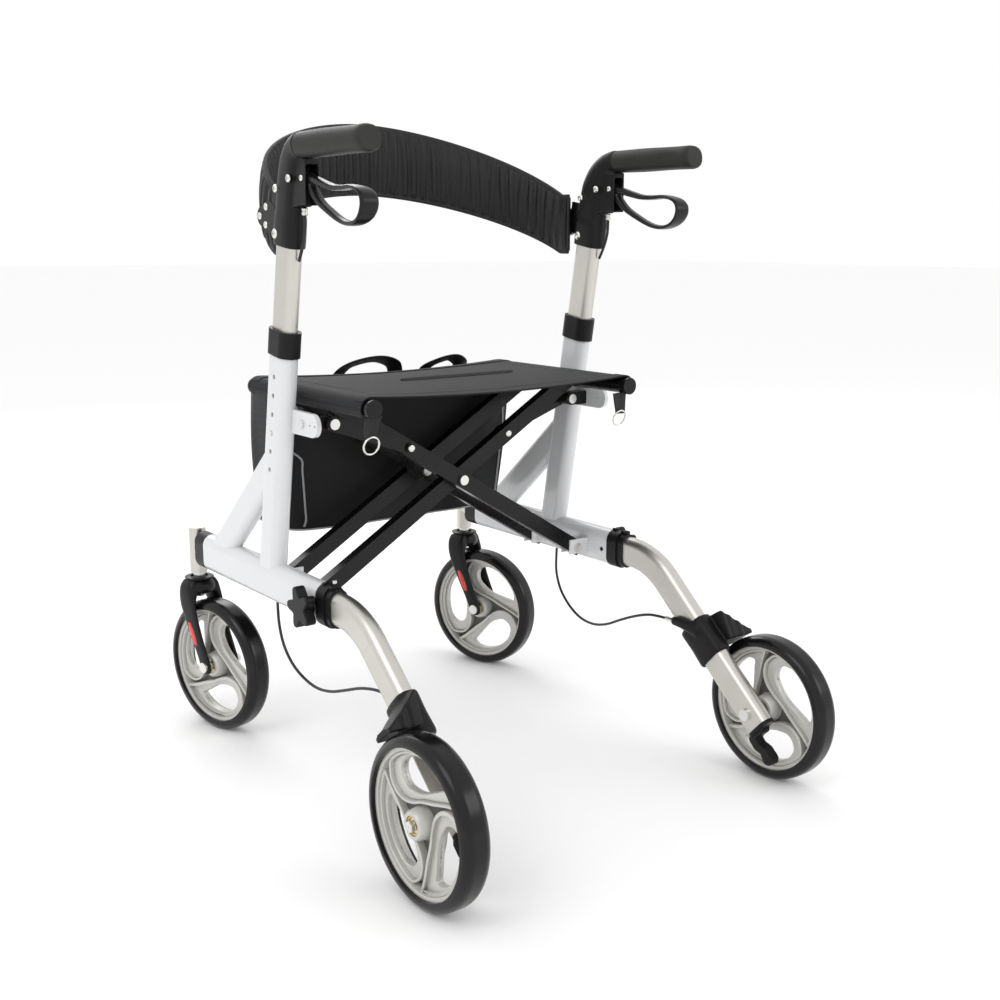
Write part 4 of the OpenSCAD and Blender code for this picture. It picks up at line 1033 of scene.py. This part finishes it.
def bag_ring(z):
    """The bag's outline at a height: wide and boxy above, drawn in and uneven towards its bottom."""
    t = min(1, max(0, (BAG_TOP - z) / 205))
    half = 198 - 7 * t - 3 * t * t
    y0, y1 = 143 + 12 * t ** 1.5, 281 + 17 * math.sin(math.pi * min(1, t * 1.15) * 0.62)
    cy = (y0 + y1) / 2
    ry = (y1 - y0) / 2
    ring = []
    n = 132
    for k in range(n):
        a = 2 * math.pi * k / n
        c, s = math.cos(a), math.sin(a)
        power = 0.30 + 0.12 * t
        x = math.copysign(abs(c) ** power, c) * half
        y = math.copysign(abs(s) ** power, s) * ry
        belly = 1 - 0.018 * math.sin(math.pi * t) * math.cos(6 * a)
        sag = 2.2 * math.sin(x * 0.031 + 1.3) * math.sin(math.pi * t) + 1.5 * math.sin(x * 0.07 + t * 5)
        if abs(s) <= 0.5:
            sag = 0
        ring.append((x * belly, cy + y + sag * (1 if s > 0 else 0.6), z))
    return ring


def middle(ring):
    return sum(p[0] for p in ring) / len(ring), sum(p[1] for p in ring) / len(ring)


def make_bag():
    """Lofted shopping bag with a bound rim, piped seams and two carry handles."""
    rows = []
    for k in range(41):
        ring = []
        for x, y, z in bag_ring(BAG_TOP - (BAG_TOP - BAG_BOTTOM) * (k / 40)):
            slack = 5 * (1 - (x / 198) ** 2) * max(0, (z - 480) / 40) ** 2
            ring.append((x, y, z - slack))
        rows.append(ring)
    last = rows[-1]
    cx, cy = middle(last)
    for k in range(1, 8):
        f = k / 8
        inset = 1 - f
        z = BAG_BOTTOM - 6.5 * math.sin(math.pi / 2 * f)
        rows.append([(cx + (x - cx) * inset, cy + (y - cy) * inset, z) for x, y, _ in last])
    shell = grid_mesh("bag_shell", rows, "bag_fabric", closed=True)
    thicken(shell, 1.4)
    pieces = [shell]
    rim = [Vector(p) + Vector((0, 0, 0.5)) for p in rows[0]]
    pieces.append(sweep("bag_rim_binding", rim, lambda t: ellipse(2.2, 4.0, 10, 2.6), "webbing",
                        up=(1, 0.2, 0), closed=True))
    seam = [Vector(p) for p in rows[-8]]
    pieces.append(sweep("bag_bottom_piping", seam, lambda t: ellipse(1.6, 1.6, 8), "piping", up=(0, 0, 1),
                        closed=True))
    for k, (sx, sy) in enumerate(((-1, -1), (1, -1), (-1, 1), (1, 1))):
        path = []
        for row in rows[1:-8]:
            cx, cy = middle(row)
            corner = max(row, key=lambda p: sx * (p[0] - cx) / 198 + sy * (p[1] - cy) / 75)
            path.append(Vector(corner) + Vector((sx * 0.9, sy * 0.9, 0)))
        path = path[::3] + [path[-1]]
        cord = catmull(path, 3)
        name = f"bag_corner_piping{k}"
        pieces.append(sweep(name, cord, lambda t: ellipse(1.5, 1.5, 8), "piping", up=(1, 0, 0)))
    for k, (x0, x1, top) in enumerate(((-46, 62, 550), (112, 186, 545))):
        shoulder = (x1 - x0) * 0.16
        arc = [(x0, 279, 505), (x0 + 2, 276, 525), (x0 + shoulder, 262, top - 8), ((x0 + x1) / 2, 250, top),
               (x1 - shoulder, 262, top - 9), (x1 - 2, 276, 525), (x1, 279, 505)]
        pieces.append(sweep(f"bag_handle{k}", catmull(arc, 8), lambda t: ellipse(1.3, 12, 14, 5), "webbing",
                            up=(0, 0.5, 1)))
    for piece in pieces:
        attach(piece, "bag_body")
        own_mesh(piece)
    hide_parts("bag")


# ---------- the whole walker ----------

make_camera()
make_studio()
make_cables()
finish_cad_nodes()
make_wheels()
make_handles()
make_mouldings()
make_scissor_details()
make_seat()
make_backrest()
make_bag()
